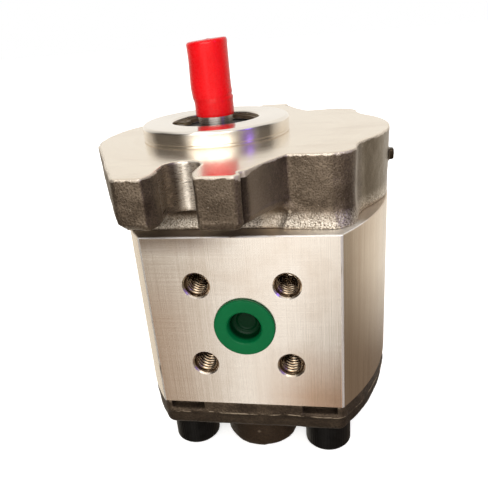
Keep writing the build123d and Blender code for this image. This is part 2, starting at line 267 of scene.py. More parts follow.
def ramp(value: Array, low: float, high: float) -> Array:
    """Smooth step from 0 at low to 1 at high."""
    t = np.clip((value - low) / (high - low), 0, 1)
    return t * t * (3 - 2 * t)


def lattice_noise(p: Array, cell: float, seed: int) -> Array:
    """Smooth random field between -1 and 1.

    Args:
        p: points, one row each.
        cell: size of one lattice cell.
        seed: number of the random draw.

    Returns:
        One value per point.
    """
    rng = np.random.default_rng(seed)
    table = rng.uniform(-1, 1, (64, 64, 64)).astype(np.float32)
    q = p / cell + 1000.0
    base = np.floor(q).astype(int)
    t = (q - base).astype(np.float32)
    t = t * t * (3 - 2 * t)
    total = np.zeros(len(p), np.float32)
    for dx in (0, 1):
        wx = t[:, 0] if dx else 1 - t[:, 0]
        for dy in (0, 1):
            wy = t[:, 1] if dy else 1 - t[:, 1]
            for dz in (0, 1):
                wz = t[:, 2] if dz else 1 - t[:, 2]
                at = (base + (dx, dy, dz)) % 64
                total += wx * wy * wz * table[at[:, 0], at[:, 1], at[:, 2]]
    return total


@dataclass
class Grid:
    """Regular block of sample points in millimetres."""

    low: tuple[float, float, float]
    high: tuple[float, float, float]
    step: float

    def __post_init__(self) -> None:
        """Lay out the three axes."""
        self.axes = [np.arange(a, b + self.step, self.step, dtype=np.float32)
                     for a, b in zip(self.low, self.high)]

    def plan(self) -> tuple[Array, Array]:
        """Return x and y over one level."""
        return np.meshgrid(self.axes[0], self.axes[1], indexing="ij")

    def levels(self) -> Array:
        """Return z shaped to broadcast over the block."""
        return self.axes[2][None, None, :]

    def roughen(self, values: Array, reach: float,
                waves: Iterable[tuple[float, float, int]]) -> Array:
        """Add random unevenness to a field near its surface.

        Args:
            values: the field.
            reach: distance from the surface within which it is changed.
            waves: (cell, amplitude, seed) of each layer.

        Returns:
            The changed field.
        """
        near = np.argwhere(np.abs(values) < reach)
        points = np.stack([self.axes[i][near[:, i]] for i in range(3)], 1)
        change = np.zeros(len(near), np.float32)
        for cell, amplitude, seed in waves:
            change += amplitude * lattice_noise(points, cell, seed)
        out = values.copy()
        out[near[:, 0], near[:, 1], near[:, 2]] += change
        return out

    def surface(self, values: Array) -> tuple[Array, Array]:
        """Turn a field into a closed mesh of quads.

        Args:
            values: the field on the block, negative inside.

        Returns:
            Vertices in millimetres and quads of vertex numbers.
        """
        cells = tuple(n - 1 for n in values.shape)
        solid = values < 0
        index, place, quads = [], [], []
        for axis in range(3):
            lo = [slice(None)] * 3
            hi = [slice(None)] * 3
            lo[axis], hi[axis] = slice(None, -1), slice(1, None)
            first, second = values[tuple(lo)], values[tuple(hi)]
            start = solid[tuple(lo)]
            at = np.argwhere(start != solid[tuple(hi)])
            f0 = first[at[:, 0], at[:, 1], at[:, 2]]
            f1 = second[at[:, 0], at[:, 1], at[:, 2]]
            spot = at.astype(np.float64)
            spot[:, axis] += f0 / (f0 - f1)
            others = [i for i in range(3) if i != axis]
            around = []
            for off_a, off_b in ((-1, -1), (0, -1), (0, 0), (-1, 0)):
                cell = at.copy()
                cell[:, others[0]] += off_a
                cell[:, others[1]] += off_b
                flat = np.ravel_multi_index(
                    tuple(np.clip(cell.T, 0, None)), cells, mode="clip")
                around.append(flat)
                index.append(flat)
                place.append(spot)
            ring = np.stack(around, 1)
            outward = start[at[:, 0], at[:, 1], at[:, 2]]
            if axis == 1:
                outward = ~outward
            ring[~outward] = ring[~outward][:, ::-1]
            quads.append(ring)
        index_all = np.concatenate(index)
        place_all = np.concatenate(place)
        used, inverse = np.unique(index_all, return_inverse=True)
        count = np.bincount(inverse)
        verts = np.stack(
            [np.bincount(inverse, place_all[:, i]) / count for i in range(3)],
            1)
        verts = verts * self.step + np.array(self.low)
        faces = np.searchsorted(used, np.concatenate(quads))
        return verts, faces


# ------------------------------------------------------------ mesh making
def store(name: str, verts: Array, faces: Sequence[Sequence[int]] | Array,
          smooth: bool = True) -> Piece:
    """Make an object from vertices in millimetres.

    Args:
        name: name of the piece.
        verts: vertex positions.
        faces: vertex numbers of each face.
        smooth: whether the faces are shaded smooth.

    Returns:
        The linked object.
    """
    mesh = bpy.data.meshes.new(name)
    mesh.from_pydata((np.asarray(verts) * MM).tolist(), [],
                     [list(map(int, f)) for f in faces])
    mesh.polygons.foreach_set("use_smooth", [smooth] * len(mesh.polygons))
    mesh.validate()
    mesh.update()
    piece = bpy.data.objects.new(name, mesh)
    bpy.context.scene.collection.objects.link(piece)
    LOG.info("%s: %d faces", name, len(mesh.polygons))
    return piece


def lathe(profile: Sequence[Span], segments: int,
          bend: Optional[Callable[[Array, Array, Array], Array]] = None
          ) -> Mesh:
    """Turn a closed or axis-ended profile round Z.

    Args:
        profile: (radius, height) points; equal ends close the section.
        segments: steps round the axis.
        bend: optional change of the points, given radius, angle and height.

    Returns:
        Vertices and faces.
    """
    closed = profile[0] == profile[-1]
    rows = list(profile[:-1] if closed else profile)
    angles = np.linspace(0, 2 * math.pi, segments, endpoint=False)
    verts: list[Array] = []
    ids: list[list[int]] = []
    for r, z in rows:
        if r < 1e-6:
            ids.append([len(verts)] * segments)
            verts.append(np.array((0.0, 0.0, z)))
            continue
        ids.append(list(range(len(verts), len(verts) + segments)))
        ring = (bend(np.full(segments, r), angles, np.full(segments, z))
                if bend else np.stack(
                    [r * np.cos(angles), r * np.sin(angles),
                     np.full(segments, z)], 1))
        verts.extend(ring)
    faces: list[list[int]] = []
    pairs = list(zip(range(len(rows) - 1), range(1, len(rows))))
    if closed:
        pairs.append((len(rows) - 1, 0))
    for i, j in pairs:
        for k in range(segments):
            m = (k + 1) % segments
            quad = [ids[i][k], ids[i][m], ids[j][m], ids[j][k]]
            face = list(dict.fromkeys(quad))
            if len(face) > 2:
                faces.append(face)
    return np.array(verts), faces


def eased(profile: Sequence[tuple[float, float, float]],
          steps: int = 3) -> list[Span]:
    """Profile with its corners rounded, ends kept.

    Args:
        profile: (radius, height, rounding) of each corner.
        steps: chords per corner.

    Returns:
        (radius, height) points.
    """
    out: list[Span] = []
    last = len(profile) - 1
    for i, (x, y, r) in enumerate(profile):
        if r <= 0 or i in (0, last):
            out.append((x, y))
            continue
        p = np.array((x, y))
        a = np.array(profile[i - 1][:2]) - p
        b = np.array(profile[i + 1][:2]) - p
        la, lb = np.hypot(*a), np.hypot(*b)
        reach = min(r, la * 0.45, lb * 0.45)
        start, end = p + a / la * reach, p + b / lb * reach
        out += corner(start, p, end, steps)
    return out


def crisp(piece: Piece, angle: float = 32.0) -> None:
    """Shade a piece smooth up to an edge angle in degrees."""
    piece.data.set_sharp_from_angle(angle=math.radians(angle))


# --------------------------------------------------------------- shaders
def tone(r: float, g: float, b: float) -> Colour:
    """Linear colour of display values from 0 to 255."""
    def one(v: float) -> float:
        """Convert one channel."""
        v /= 255
        return v / 12.92 if v <= 0.04045 else ((v + 0.055) / 1.055) ** 2.4
    return one(r), one(g), one(b)


class Tree:
    """Short hand for filling a shader node tree."""

    def __init__(self, tree: bpy.types.NodeTree) -> None:
        """Keep the tree."""
        self.tree = tree

    def put(self, socket: Socket, value: object) -> None:
        """Link a socket or set its value.

        Args:
            socket: the input.
            value: another socket, a number or a colour.
        """
        if isinstance(value, Socket):
            self.tree.links.new(value, socket)
        elif isinstance(value, (tuple, list)) and socket.type == "RGBA":
            socket.default_value = (*value[:3], 1.0)
        else:
            socket.default_value = value

    def add(self, kind: str, settings: Optional[dict] = None,
            **inputs: object) -> Node:
        """Add a node.

        Args:
            kind: node type without its ShaderNode prefix.
            settings: attributes of the node.
            inputs: input values by socket name, underscores for spaces.

        Returns:
            The node.
        """
        node = self.tree.nodes.new("ShaderNode" + kind)
        for key, value in (settings or {}).items():
            setattr(node, key, value)
        for key, value in inputs.items():
            self.put(node.inputs[key.replace("_", " ")], value)
        return node

    def maths(self, operation: str, a: object, b: object = None) -> Socket:
        """Arithmetic on one or two values."""
        node = self.add("Math", {"operation": operation})
        self.put(node.inputs[0], a)
        if b is not None:
            self.put(node.inputs[1], b)
        return node.outputs[0]

    def times(self, a: object, b: object) -> Socket:
        """Product."""
        return self.maths("MULTIPLY", a, b)

    def plus(self, a: object, b: object) -> Socket:
        """Sum."""
        return self.maths("ADD", a, b)

    def minus(self, a: object, b: object) -> Socket:
        """Difference."""
        return self.maths("SUBTRACT", a, b)

    def over(self, a: object, b: object) -> Socket:
        """Quotient."""
        return self.maths("DIVIDE", a, b)

    def size(self, a: object) -> Socket:
        """Value without its sign."""
        return self.maths("ABSOLUTE", a)

    def root(self, a: object) -> Socket:
        """Square root."""
        return self.maths("SQRT", a)

    def most(self, a: object, b: object) -> Socket:
        """Larger of two values."""
        return self.maths("MAXIMUM", a, b)

    def least(self, a: object, b: object) -> Socket:
        """Smaller of two values."""
        return self.maths("MINIMUM", a, b)

    def either(self, mask: object, a: object, b: object) -> Socket:
        """Value a where the mask is 0 and b where it is 1."""
        node = self.add("Mix", {"data_type": "FLOAT"})
        for number, value in ((0, mask), (2, a), (3, b)):
            self.put(node.inputs[number], value)
        return node.outputs[0]

    def length(self, a: object, b: object) -> Socket:
        """Length of a plane vector with these two parts."""
        return self.root(self.plus(self.times(a, a), self.times(b, b)))

    def scale(self, value: object, low: float, high: float, to_low: float = 0,
              to_high: float = 1) -> Socket:
        """Map one range of values onto another, clamped."""
        node = self.add("MapRange", {"clamp": True}, Value=value,
                        From_Min=low, From_Max=high, To_Min=to_low,
                        To_Max=to_high)
        return node.outputs[0]

    def blend(self, factor: object, a: object, b: object) -> Socket:
        """Mix two colours."""
        node = self.add("Mix", {"data_type": "RGBA", "blend_type": "MIX"})
        self.put(node.inputs[0], factor)
        self.put(node.inputs[6], a)
        self.put(node.inputs[7], b)
        return node.outputs[2]

    def noise(self, vector: object, scale: float, detail: float = 2.0,
              roughness: float = 0.5,
              distortion: float = 0.0) -> Socket:
        """Noise value at a vector."""
        return self.add("TexNoise", None, Vector=vector, Scale=scale,
                        Detail=detail, Roughness=roughness,
                        Distortion=distortion).outputs[0]

    def stretch(self, vector: object, factors: tuple[float, float, float]
                ) -> Socket:
        """Multiply a vector by a factor along each axis."""
        node = self.add("VectorMath", {"operation": "MULTIPLY"})
        self.put(node.inputs[0], vector)
        self.put(node.inputs[1], factors)
        return node.outputs[0]

    def split(self, vector: object) -> tuple[Socket, ...]:
        """Components of a vector."""
        node = self.add("SeparateXYZ", None, Vector=vector)
        return tuple(node.outputs)

    def use(self, group: bpy.types.NodeTree, **inputs: object) -> Node:
        """Place a node group."""
        node = self.tree.nodes.new("ShaderNodeGroup")
        node.node_tree = group
        for key, value in inputs.items():
            self.put(node.inputs[key.replace("_", " ")], value)
        return node


Ports = dict[str, tuple[str, object]]


def make_group(name: str, inputs: Ports, outputs: dict[str, str],
               fill: Callable[[Tree, Node, Node], None]
               ) -> bpy.types.NodeTree:
    """Node group with named sockets.

    Args:
        name: name of the group.
        inputs: socket kind and default of each input.
        outputs: socket kind of each output.
        fill: makes the nodes between the group's input and output.

    Returns:
        The group, built once.
    """
    if name in bpy.data.node_groups:
        return bpy.data.node_groups[name]
    group = bpy.data.node_groups.new(name, "ShaderNodeTree")
    for key, (kind, default) in inputs.items():
        socket = group.interface.new_socket(
            key, in_out="INPUT", socket_type="NodeSocket" + kind)
        if default is not None:
            socket.default_value = default
    for key, kind in outputs.items():
        group.interface.new_socket(
            key, in_out="OUTPUT", socket_type="NodeSocket" + kind)
    entry = group.nodes.new("NodeGroupInput")
    leave = group.nodes.new("NodeGroupOutput")
    fill(Tree(group), entry, leave)
    return group


def blasted_grain() -> bpy.types.NodeTree:
    """Group for the pitted, blasted skin of a casting.

    Returns:
        Group with Grain, Pits and Stain between 0 and 1.
    """
    def fill(t: Tree, entry: Node, leave: Node) -> None:
        """Make the nodes."""
        where, size = entry.outputs["Vector"], entry.outputs["Size"]
        node = t.add("VectorMath", {"operation": "DIVIDE"})
        t.put(node.inputs[0], where)
        joined = t.add("CombineXYZ", None, X=size, Y=size, Z=size)
        t.put(node.inputs[1], joined.outputs[0])
        scaled = node.outputs[0]
        fine = t.noise(scaled, 1.0, 5.0, 0.68)
        cells = t.add("TexVoronoi", {"feature": "SMOOTH_F1"}, Vector=scaled,
                      Scale=0.9, Smoothness=0.4, Randomness=1.0).outputs[0]
        stain = t.noise(scaled, 0.06, 4.0, 0.6, 0.6)
        t.put(leave.inputs["Grain"], t.scale(fine, 0.3, 0.72))
        t.put(leave.inputs["Pits"], t.scale(cells, 0.12, 0.75))
        t.put(leave.inputs["Stain"], t.scale(stain, 0.34, 0.68))
    return make_group("blasted_grain",
                      {"Vector": ("Vector", None), "Size": ("Float", 0.0006)},
                      {"Grain": "Float", "Pits": "Float", "Stain": "Float"},
                      fill)


def cutter_marks() -> bpy.types.NodeTree:
    """Group for fine parallel marks that run along local X.

    Returns:
        Group with Marks (fine lines) and Bands (slow change) from 0 to 1.
    """
    def fill(t: Tree, entry: Node, leave: Node) -> None:
        """Make the nodes."""
        where = entry.outputs["Vector"]
        along, pitch = entry.outputs["Length"], entry.outputs["Pitch"]
        x, y, z = t.split(where)
        joined = t.add("CombineXYZ", None, X=t.over(x, along),
                       Y=t.over(y, pitch),
                       Z=t.over(z, pitch)).outputs[0]
        fine = t.noise(joined, 1.0, 4.0, 0.6)
        slow = t.noise(joined, 0.11, 3.0, 0.5)
        t.put(leave.inputs["Marks"], t.scale(fine, 0.32, 0.68))
        t.put(leave.inputs["Bands"], t.scale(slow, 0.33, 0.67))
    return make_group("cutter_marks",
                      {"Vector": ("Vector", None), "Length": ("Float", 0.02),
                       "Pitch": ("Float", 0.0002)},
                      {"Marks": "Float", "Bands": "Float"}, fill)


def turned_rings() -> bpy.types.NodeTree:
    """Group for the rings that a lathe tool leaves round an axis.

    Returns:
        Group with Rings and Sweep from 0 to 1.
    """
    def fill(t: Tree, entry: Node, leave: Node) -> None:
        """Make the nodes."""
        x, y, _ = t.split(entry.outputs["Vector"])
        radius = t.length(x, y)
        turn = t.maths("ARCTAN2", y, x)
        at = t.add("CombineXYZ", None,
                   X=t.over(radius, entry.outputs["Pitch"]),
                   Y=t.times(t.size(turn), 0.6),
                   Z=0.0).outputs[0]
        rings = t.noise(at, 1.0, 3.0, 0.6)
        sweep = t.noise(t.stretch(at, (0.02, 1.4, 1.0)), 1.0, 2.0, 0.5)
        t.put(leave.inputs["Rings"], t.scale(rings, 0.3, 0.7))
        t.put(leave.inputs["Sweep"], t.scale(sweep, 0.3, 0.7))
    return make_group("turned_rings",
                      {"Vector": ("Vector", None), "Pitch": ("Float", 0.0003)},
                      {"Rings": "Float", "Sweep": "Float"}, fill)


def edge_wear_and_shading() -> bpy.types.NodeTree:
    """Group for masks along convex edges and in creases, broken up by noise:
    Edge carries edge wear together with a painted edge highlight, Crease
    carries painted shade in creases.

    Returns:
        Group with Edge and Crease from 0 to 1.
    """
    def fill(t: Tree, entry: Node, leave: Node) -> None:
        """Make the nodes."""
        point = t.add("NewGeometry").outputs["Pointiness"]
        rough = t.noise(entry.outputs["Vector"], 900.0, 3.0, 0.6)
        spread = t.times(t.minus(rough, 0.5), 0.05)
        moved = t.plus(point, spread)
        t.put(leave.inputs["Edge"], t.scale(moved, 0.535, 0.6))
        t.put(leave.inputs["Crease"], t.scale(moved, 0.47, 0.4))
    return make_group("edge_wear_and_shading", {"Vector": ("Vector", None)},
                      {"Edge": "Float", "Crease": "Float"}, fill)


def stage_tree(name: str) -> tuple[bpy.types.Material, Tree, Node]:
    """Empty material with one Principled shader.

    Args:
        name: name of the material.

    Returns:
        The material, its tree and the shader.
    """
    material = bpy.data.materials.new(name)
    material.use_nodes = True
    material.node_tree.nodes.clear()
    t = Tree(material.node_tree)
    shader = t.add("BsdfPrincipled")
    out = t.add("OutputMaterial")
    t.put(out.inputs["Surface"], shader.outputs[0])
    return material, t, shader


@dataclass(frozen=True)
class Finish:
    """A surface finish; build() makes its material once."""

    name: str = "finish"

    def paint(self, t: Tree, shader: Node, where: Socket) -> None:
        """Fill the material's tree."""
        raise NotImplementedError

    def build(self) -> bpy.types.Material:
        """Return the finish's material, making it if needed."""
        if self.name in bpy.data.materials:
            return bpy.data.materials[self.name]
        material, t, shader = stage_tree(self.name)
        where = t.add("TexCoord").outputs["Object"]
        self.paint(t, shader, where)
        return material

    def dress(self, piece: Piece) -> None:
        """Give a piece this finish."""
        piece.data.materials.clear()
        piece.data.materials.append(self.build())


def relief(t: Tree, shader: Node, height: object, distance: float) -> None:
    """Feed a height in metres of relief to the shader's normal."""
    bump = t.add("Bump", None, Height=height, Distance=distance,
                 Strength=1.0)
    t.put(shader.inputs["Normal"], bump.outputs[0])


@dataclass(frozen=True)
class CastAndTurned(Finish):
    """Cast aluminium with turned faces above a level and in the slots."""

    name: str = "cover_cast_and_turned"
    skin_dark: Colour = tone(88, 75, 62)
    skin_light: Colour = tone(140, 125, 108)
    speck: Colour = tone(214, 202, 184)
    smooth: Colour = tone(132, 122, 104)
    pit: Colour = tone(50, 42, 34)
    # painted highlight on the lower skirt
    foot: Colour = tone(232, 222, 206)
    # painted shade in concave creases
    crease: Colour = tone(40, 32, 25)
    # painted highlight in the valley where the lobe meets the bulge
    rub_and_highlight: Colour = tone(186, 178, 164)
    # painted shade in the concave groove beside the ear flank
    groove_shade: Colour = tone(34, 26, 19)
    # painted light on the ear flank, fading into shade towards the inner
    # corner
    flank: Colour = tone(182, 168, 148)
    gate: Colour = tone(58, 48, 38)
    # burred top edge, lightened with a painted highlight
    burr_and_highlight: Colour = tone(228, 216, 200)
    metal: Colour = tone(236, 225, 207)
    metal_swept: Colour = tone(222, 206, 186)
    metal_smeared: Colour = tone(206, 186, 164)
    wall: Colour = tone(238, 229, 216)
    # painted shade on the side walls of the slots
    slot_wall_shade: Colour = tone(112, 96, 80)
    wall_torn: Colour = tone(96, 82, 68)
    slot_reach: float = 0.00572
    slot_y: float = 0.0475
    slot_start: Span = (0.0405, 0.0408)
    slot_end: float = 0.0517
    slot_left: Span = (-0.0034, -0.0012)
    slot_right: Span = (0.0034, 0.0046)
    groove: Span = (0.0195, 0.05625)
    joint: Span = (0.0488, 0.0302)
    flank_start: Span = (0.0198, 0.0204)
    flank_fade: Span = (0.0285, 0.0215)
    gate_start: Span = (0.0590, 0.0592)
    bulge_x: float = 0.0478
    skirt_z: float = -0.0168

    def machined(self, t: Tree, where: Socket) -> tuple[Socket, Socket]:
        """Masks of the turned top and of the milled slot walls."""
        x, y, z = t.split(where)
        top = t.scale(z, -0.00016, -0.00006)
        out = t.size(y)
        inward = t.least(t.minus(out, self.slot_y), 0.0)
        reach = t.length(x, inward)
        ragged = t.times(t.minus(t.noise(where, 700.0, 3.0), 0.5), 0.0016)
        slot = t.times(
            t.scale(reach, self.slot_reach + 0.0001, self.slot_reach),
            t.scale(t.plus(out, ragged), self.slot_end,
                    self.slot_end - 0.0003))
        return top, t.times(slot, t.scale(out, *self.slot_start))

    def near(self, t: Tree, x: Socket,
             y: Socket, spot: tuple[float, float]
             ) -> Socket:
        """Distance in plan to a spot and to its mirror across y."""
        return t.length(t.minus(x, spot[0]), t.minus(t.size(y), spot[1]))

    def skin(self, t: Tree, where: Socket,
             grain: Node, smooth: Socket
             ) -> Socket:
        """Colour of the cast skin.

        Args:
            t: the material's tree.
            where: object coordinates.
            grain: the placed grain group.
            smooth: mask of the smoother round side.

        Returns:
            The colour.
        """
        x, y, z = t.split(where)
        edge = t.use(edge_wear_and_shading(), Vector=where)
        groove = self.near(t, x, y, self.groove)
        joint = self.near(t, x, y, self.joint)
        pits = t.times(t.minus(1.0, grain.outputs["Pits"]),
                       t.scale(smooth, 0, 1, 0.55, 0.1))
        # painted highlight on the lower skirt
        foot = t.times(t.scale(z, self.skirt_z, self.skirt_z - 0.0035),
                       t.scale(grain.outputs["Grain"], 0.2, 0.75))
        # painted light on the ear flank, fading into shade towards the inner
        # corner
        flank = t.times(t.scale(x, *self.flank_fade),
                        t.scale(x, *self.flank_start))
        # burred top edge, lightened with a painted highlight
        chips = t.times(t.minus(t.noise(where, 420.0, 3.0, 0.6), 0.5),
                        0.0017)
        wide = t.scale(groove, 0.0052, 0.0024, 0.0, 0.0011)
        burr_and_highlight = t.scale(t.plus(t.plus(z, chips), wide), -0.00085, -0.00055)
        colour = t.blend(grain.outputs["Stain"], self.skin_dark,
                         self.skin_light)
        for mask, tint in (
                (t.times(grain.outputs["Grain"], 0.5), self.skin_light),
                (t.times(smooth, 0.8), self.smooth),
                (pits, self.pit),
                # painted highlight on the lower skirt
                (t.times(foot, 0.85), self.foot),
                (t.scale(grain.outputs["Grain"], 0.84, 1.0), self.speck),
                # edge wear with a painted highlight along convex edges
                (t.times(edge.outputs["Edge"], 0.75), self.speck),
                # painted shade in concave creases
                (t.times(edge.outputs["Crease"], 0.55), self.crease),
                # painted highlight in the valley where the lobe meets the
                # bulge
                (t.times(t.scale(joint, 0.0038, 0.0012), 0.75),
                 self.rub_and_highlight),
                # painted shade in the concave groove beside the ear flank
                (t.times(t.scale(groove, 0.0021, 0.0012), 0.8),
                 self.groove_shade),
                # painted light on the ear flank
                (t.times(flank, 0.5), self.flank),
                (t.scale(x, *self.gate_start), self.gate),
                # burred top edge, lightened with a painted highlight
                (t.times(burr_and_highlight, 0.85), self.burr_and_highlight)):
            colour = t.blend(mask, colour, tint)
        return colour

    def paint(self, t: Tree, shader: Node, where: Socket) -> None:
        """Blend the cast skin and the cut metal."""
        top, slot = self.machined(t, where)
        cut = t.most(top, slot)
        x = t.split(where)[0]
        grain = t.use(blasted_grain(), Vector=where, Size=0.0005)
        rings = t.use(turned_rings(), Vector=where, Pitch=0.00035)
        smooth = t.scale(x, self.bulge_x, self.bulge_x + 0.0022)
        metal = t.blend(t.times(rings.outputs["Sweep"], 0.35), self.metal,
                        self.metal_swept)
        smear = t.scale(t.noise(t.stretch(where, (30.0, 90.0, 30.0)), 1.0,
                                4.0, 0.6), 0.5, 0.72)
        metal = t.blend(t.times(smear, 0.35), metal, self.metal_smeared)
        # painted shade on the side walls of the slots
        side = t.most(t.scale(x, *self.slot_left, 1.0, 0.0),
                      t.scale(x, *self.slot_right))
        wall = t.blend(t.times(side, 0.85), self.wall, self.slot_wall_shade)
        chatter = t.noise(t.stretch(where, (330.0, 330.0, 1700.0)), 1.0, 3.0,
                          0.65)
        wall = t.blend(t.times(t.scale(chatter, 0.54, 0.6), 0.5), wall,
                       self.wall_torn)
        metal = t.blend(slot, metal, wall)
        skin = self.skin(t, where, grain, smooth)
        t.put(shader.inputs["Base Color"], t.blend(cut, skin, metal))
        rough_skin = t.minus(
            t.scale(grain.outputs["Grain"], 0, 1, 0.58, 0.42),
            t.times(smooth, 0.16))
        rough_cut = t.plus(
            t.scale(rings.outputs["Rings"], 0, 1, 0.15, 0.26),
            t.times(slot, t.scale(chatter, 0.4, 0.62, 0.04, 0.3)))
        t.put(shader.inputs["Roughness"],
              t.either(cut, rough_skin, rough_cut))
        shader.inputs["Metallic"].default_value = 0.92
        skin_height = t.times(
            t.plus(t.times(grain.outputs["Pits"], 0.6),
                   t.times(grain.outputs["Grain"], 0.5)),
            t.scale(smooth, 0, 1, 1.0, 0.25))
        cut_height = t.plus(t.times(rings.outputs["Rings"], 0.006),
                            t.times(slot, t.times(chatter, 0.9)))
        relief(t, shader, t.either(cut, skin_height, cut_height), 0.00009)


@dataclass(frozen=True)
class TurnedMetal(Finish):
    """Bright turned metal with rings round the shaft axis."""

    name: str = "turned_aluminium"
    metal: Colour = tone(243, 236, 226)
    rough: Span = (0.13, 0.22)
    pitch: float = 0.0003

    def paint(self, t: Tree, shader: Node, where: Socket) -> None:
        """Rings in roughness and relief."""
        rings = t.use(turned_rings(), Vector=where, Pitch=self.pitch)
        shade = tuple(c * 0.82 for c in self.metal)
        t.put(shader.inputs["Base Color"], t.blend(
            t.times(rings.outputs["Sweep"], 0.4), self.metal,
            shade))
        t.put(shader.inputs["Roughness"],
              t.scale(rings.outputs["Rings"], 0, 1, *self.rough))
        shader.inputs["Metallic"].default_value = 1.0
        shader.inputs["Anisotropic"].default_value = 0.75
        shader.inputs["Anisotropic Rotation"].default_value = 0.25
        relief(t, shader, rings.outputs["Rings"], 0.000001)


@dataclass(frozen=True)
class MilledBody(Finish):
    """Extruded body: cross-cut port faces and drawn sides."""

    name: str = "body_milled"
    metal: Colour = tone(241, 235, 227)
    drawn: Colour = tone(223, 209, 190)
    shade: Colour = tone(196, 176, 155)
    weave: Colour = tone(176, 156, 138)
    # burred chamfer edges, lightened with a painted highlight
    burr_and_highlight: Colour = tone(255, 253, 250)
    # painted shade and painted highlight on the body's top ledge
    ledge_shade: Colour = tone(84, 68, 52)
    ledge_highlight: Colour = tone(255, 252, 246)
    middle: float = 0.0135
    corner: float = 0.0304
    # painted reflections on the port faces: warm brown patches at the lower
    # left and lower right, and a dark patch under the ear
    painted_reflections: tuple[tuple[Span, Span, float, Colour], ...] = (
        ((0.006, -0.017), (-0.026, -0.05), 0.55, tone(196, 160, 128)),
        ((0.014, 0.034), (-0.058, -0.078), 0.8, tone(186, 150, 120)),
        ((0.015, 0.0), (-0.0285, -0.0235), 0.7, tone(120, 100, 84)))

    def paint(self, t: Tree, shader: Node, where: Socket) -> None:
        """Crossed cutter lines on the faces, die lines up the sides."""
        x, y, z = t.split(where)
        out = t.size(y)
        face = t.scale(out, 0.0446, 0.04495)
        flat = t.use(cutter_marks(), Vector=where, Length=0.02,
                     Pitch=0.00026)
        turned = t.add("CombineXYZ", None, X=z, Y=x, Z=y).outputs[0]
        up = t.use(cutter_marks(), Vector=turned, Length=0.03,
                   Pitch=0.00028)
        crossed = t.times(t.plus(flat.outputs["Marks"],
                                 up.outputs["Marks"]), 0.5)
        marks = t.either(face, up.outputs["Marks"], crossed)
        bands = t.times(up.outputs["Bands"], t.scale(face, 0, 1, 0.35, 0.1))
        cloud = t.scale(t.noise(where, 45.0, 4.0, 0.6), 0.48, 0.7)
        # burred chamfer edges, lightened with a painted highlight
        broken = t.scale(t.noise(t.stretch(where, (1.0, 1.0, 0.3)), 260.0,
                                 3.0, 0.6), 0.3, 0.46)
        rim = t.scale(z, -0.02245, -0.02232)
        flank = t.scale(t.size(t.minus(x, self.middle)),
                        self.corner - 0.00042, self.corner - 0.0003)
        burr_and_highlight = t.times(t.times(t.most(rim, flank),
                               t.scale(out, 0.0444, 0.04455)), broken)
        ledge = t.scale(z, -0.02225, -0.0221)
        # painted reflections on the port faces
        painted_reflections = [
            (t.times(t.times(t.scale(x, *across), t.scale(z, *down)), face),
             strength, tint) for across, down, strength, tint in self.painted_reflections]
        colour = t.blend(face, self.drawn, self.metal)
        for mask, strength, tint in (
                (bands, 1.0, self.shade),
                (t.scale(marks, 0.72, 0.3), 0.22, self.weave),
                *painted_reflections,
                (cloud, 0.3, self.shade),
                # burred chamfer edges, lightened with a painted highlight
                (burr_and_highlight, 1.0, self.burr_and_highlight),
                # painted shade on the left of the top ledge, painted highlight
                # towards its front right
                (t.times(ledge, t.scale(x, 0.024, 0.01)), 0.6,
                 self.ledge_shade),
                (t.times(ledge, t.times(t.scale(x, 0.024, 0.036),
                                        t.scale(out, 0.031, 0.036))), 1.0,
                 self.ledge_highlight)):
            colour = t.blend(t.times(mask, strength), colour, tint)
        t.put(shader.inputs["Base Color"], colour)
        rough = t.plus(t.scale(marks, 0, 1, 0.17, 0.27), t.times(burr_and_highlight, 0.4))
        t.put(shader.inputs["Roughness"],
              t.plus(rough, t.times(ledge, 0.3)))
        shader.inputs["Metallic"].default_value = 1.0
        shader.inputs["Anisotropic"].default_value = 0.3
        relief(t, shader, marks, 0.000009)


@dataclass(frozen=True)
class CastIron(Finish):
    """Dark grey-brown cast iron with a thin oily film."""

    name: str = "iron_cast"
    dark: Colour = tone(58, 47, 37)
    light: Colour = tone(96, 82, 67)
    lower: Colour = tone(40, 32, 24)
    under: Colour = tone(64, 46, 30)
    pit: Colour = tone(26, 21, 16)
    seam: Colour = tone(176, 160, 138)
    # edge wear with a painted edge highlight
    rub_and_highlight: Colour = tone(150, 134, 114)
    seam_z: float = -0.0866
    foot_z: float = -0.0926

    def paint(self, t: Tree, shader: Node, where: Socket) -> None:
        """Grain, stain, worn edges with a painted edge highlight, and a broken
        bright seam.
        """
        grain = t.use(blasted_grain(), Vector=where, Size=0.0005)
        edge = t.use(edge_wear_and_shading(), Vector=where)
        z = t.split(where)[2]
        broken = t.scale(t.noise(t.stretch(where, (1.0, 1.0, 6.0)), 190.0,
                                 3.0, 0.6), 0.47, 0.54)
        wander = t.times(t.minus(t.noise(where, 90.0, 2.0), 0.5), 0.0012)
        off = t.size(t.minus(t.plus(z, wander), self.seam_z))
        colour = t.blend(grain.outputs["Stain"], self.dark, self.light)
        for mask, strength, tint in (
                (t.scale(z, self.seam_z + 0.0002, self.seam_z - 0.0002),
                 0.42, self.lower),
                (t.scale(z, self.foot_z, self.foot_z - 0.0006), 0.4,
                 self.under),
                (t.minus(1.0, grain.outputs["Pits"]), 0.5, self.pit),
                (t.times(t.scale(off, 0.00034, 0.00016), broken), 0.85,
                 self.seam),
                # edge wear with a painted edge highlight
                (edge.outputs["Edge"], 0.45, self.rub_and_highlight)):
            colour = t.blend(t.times(mask, strength), colour, tint)
        t.put(shader.inputs["Base Color"], colour)
        t.put(shader.inputs["Roughness"],
              t.scale(grain.outputs["Grain"], 0, 1, 0.6, 0.42))
        shader.inputs["Metallic"].default_value = 0.7
        shader.inputs["Specular IOR Level"].default_value = 0.25
        height = t.plus(grain.outputs["Pits"],
                        t.times(grain.outputs["Grain"], 0.6))
        relief(t, shader, height, 0.00012)


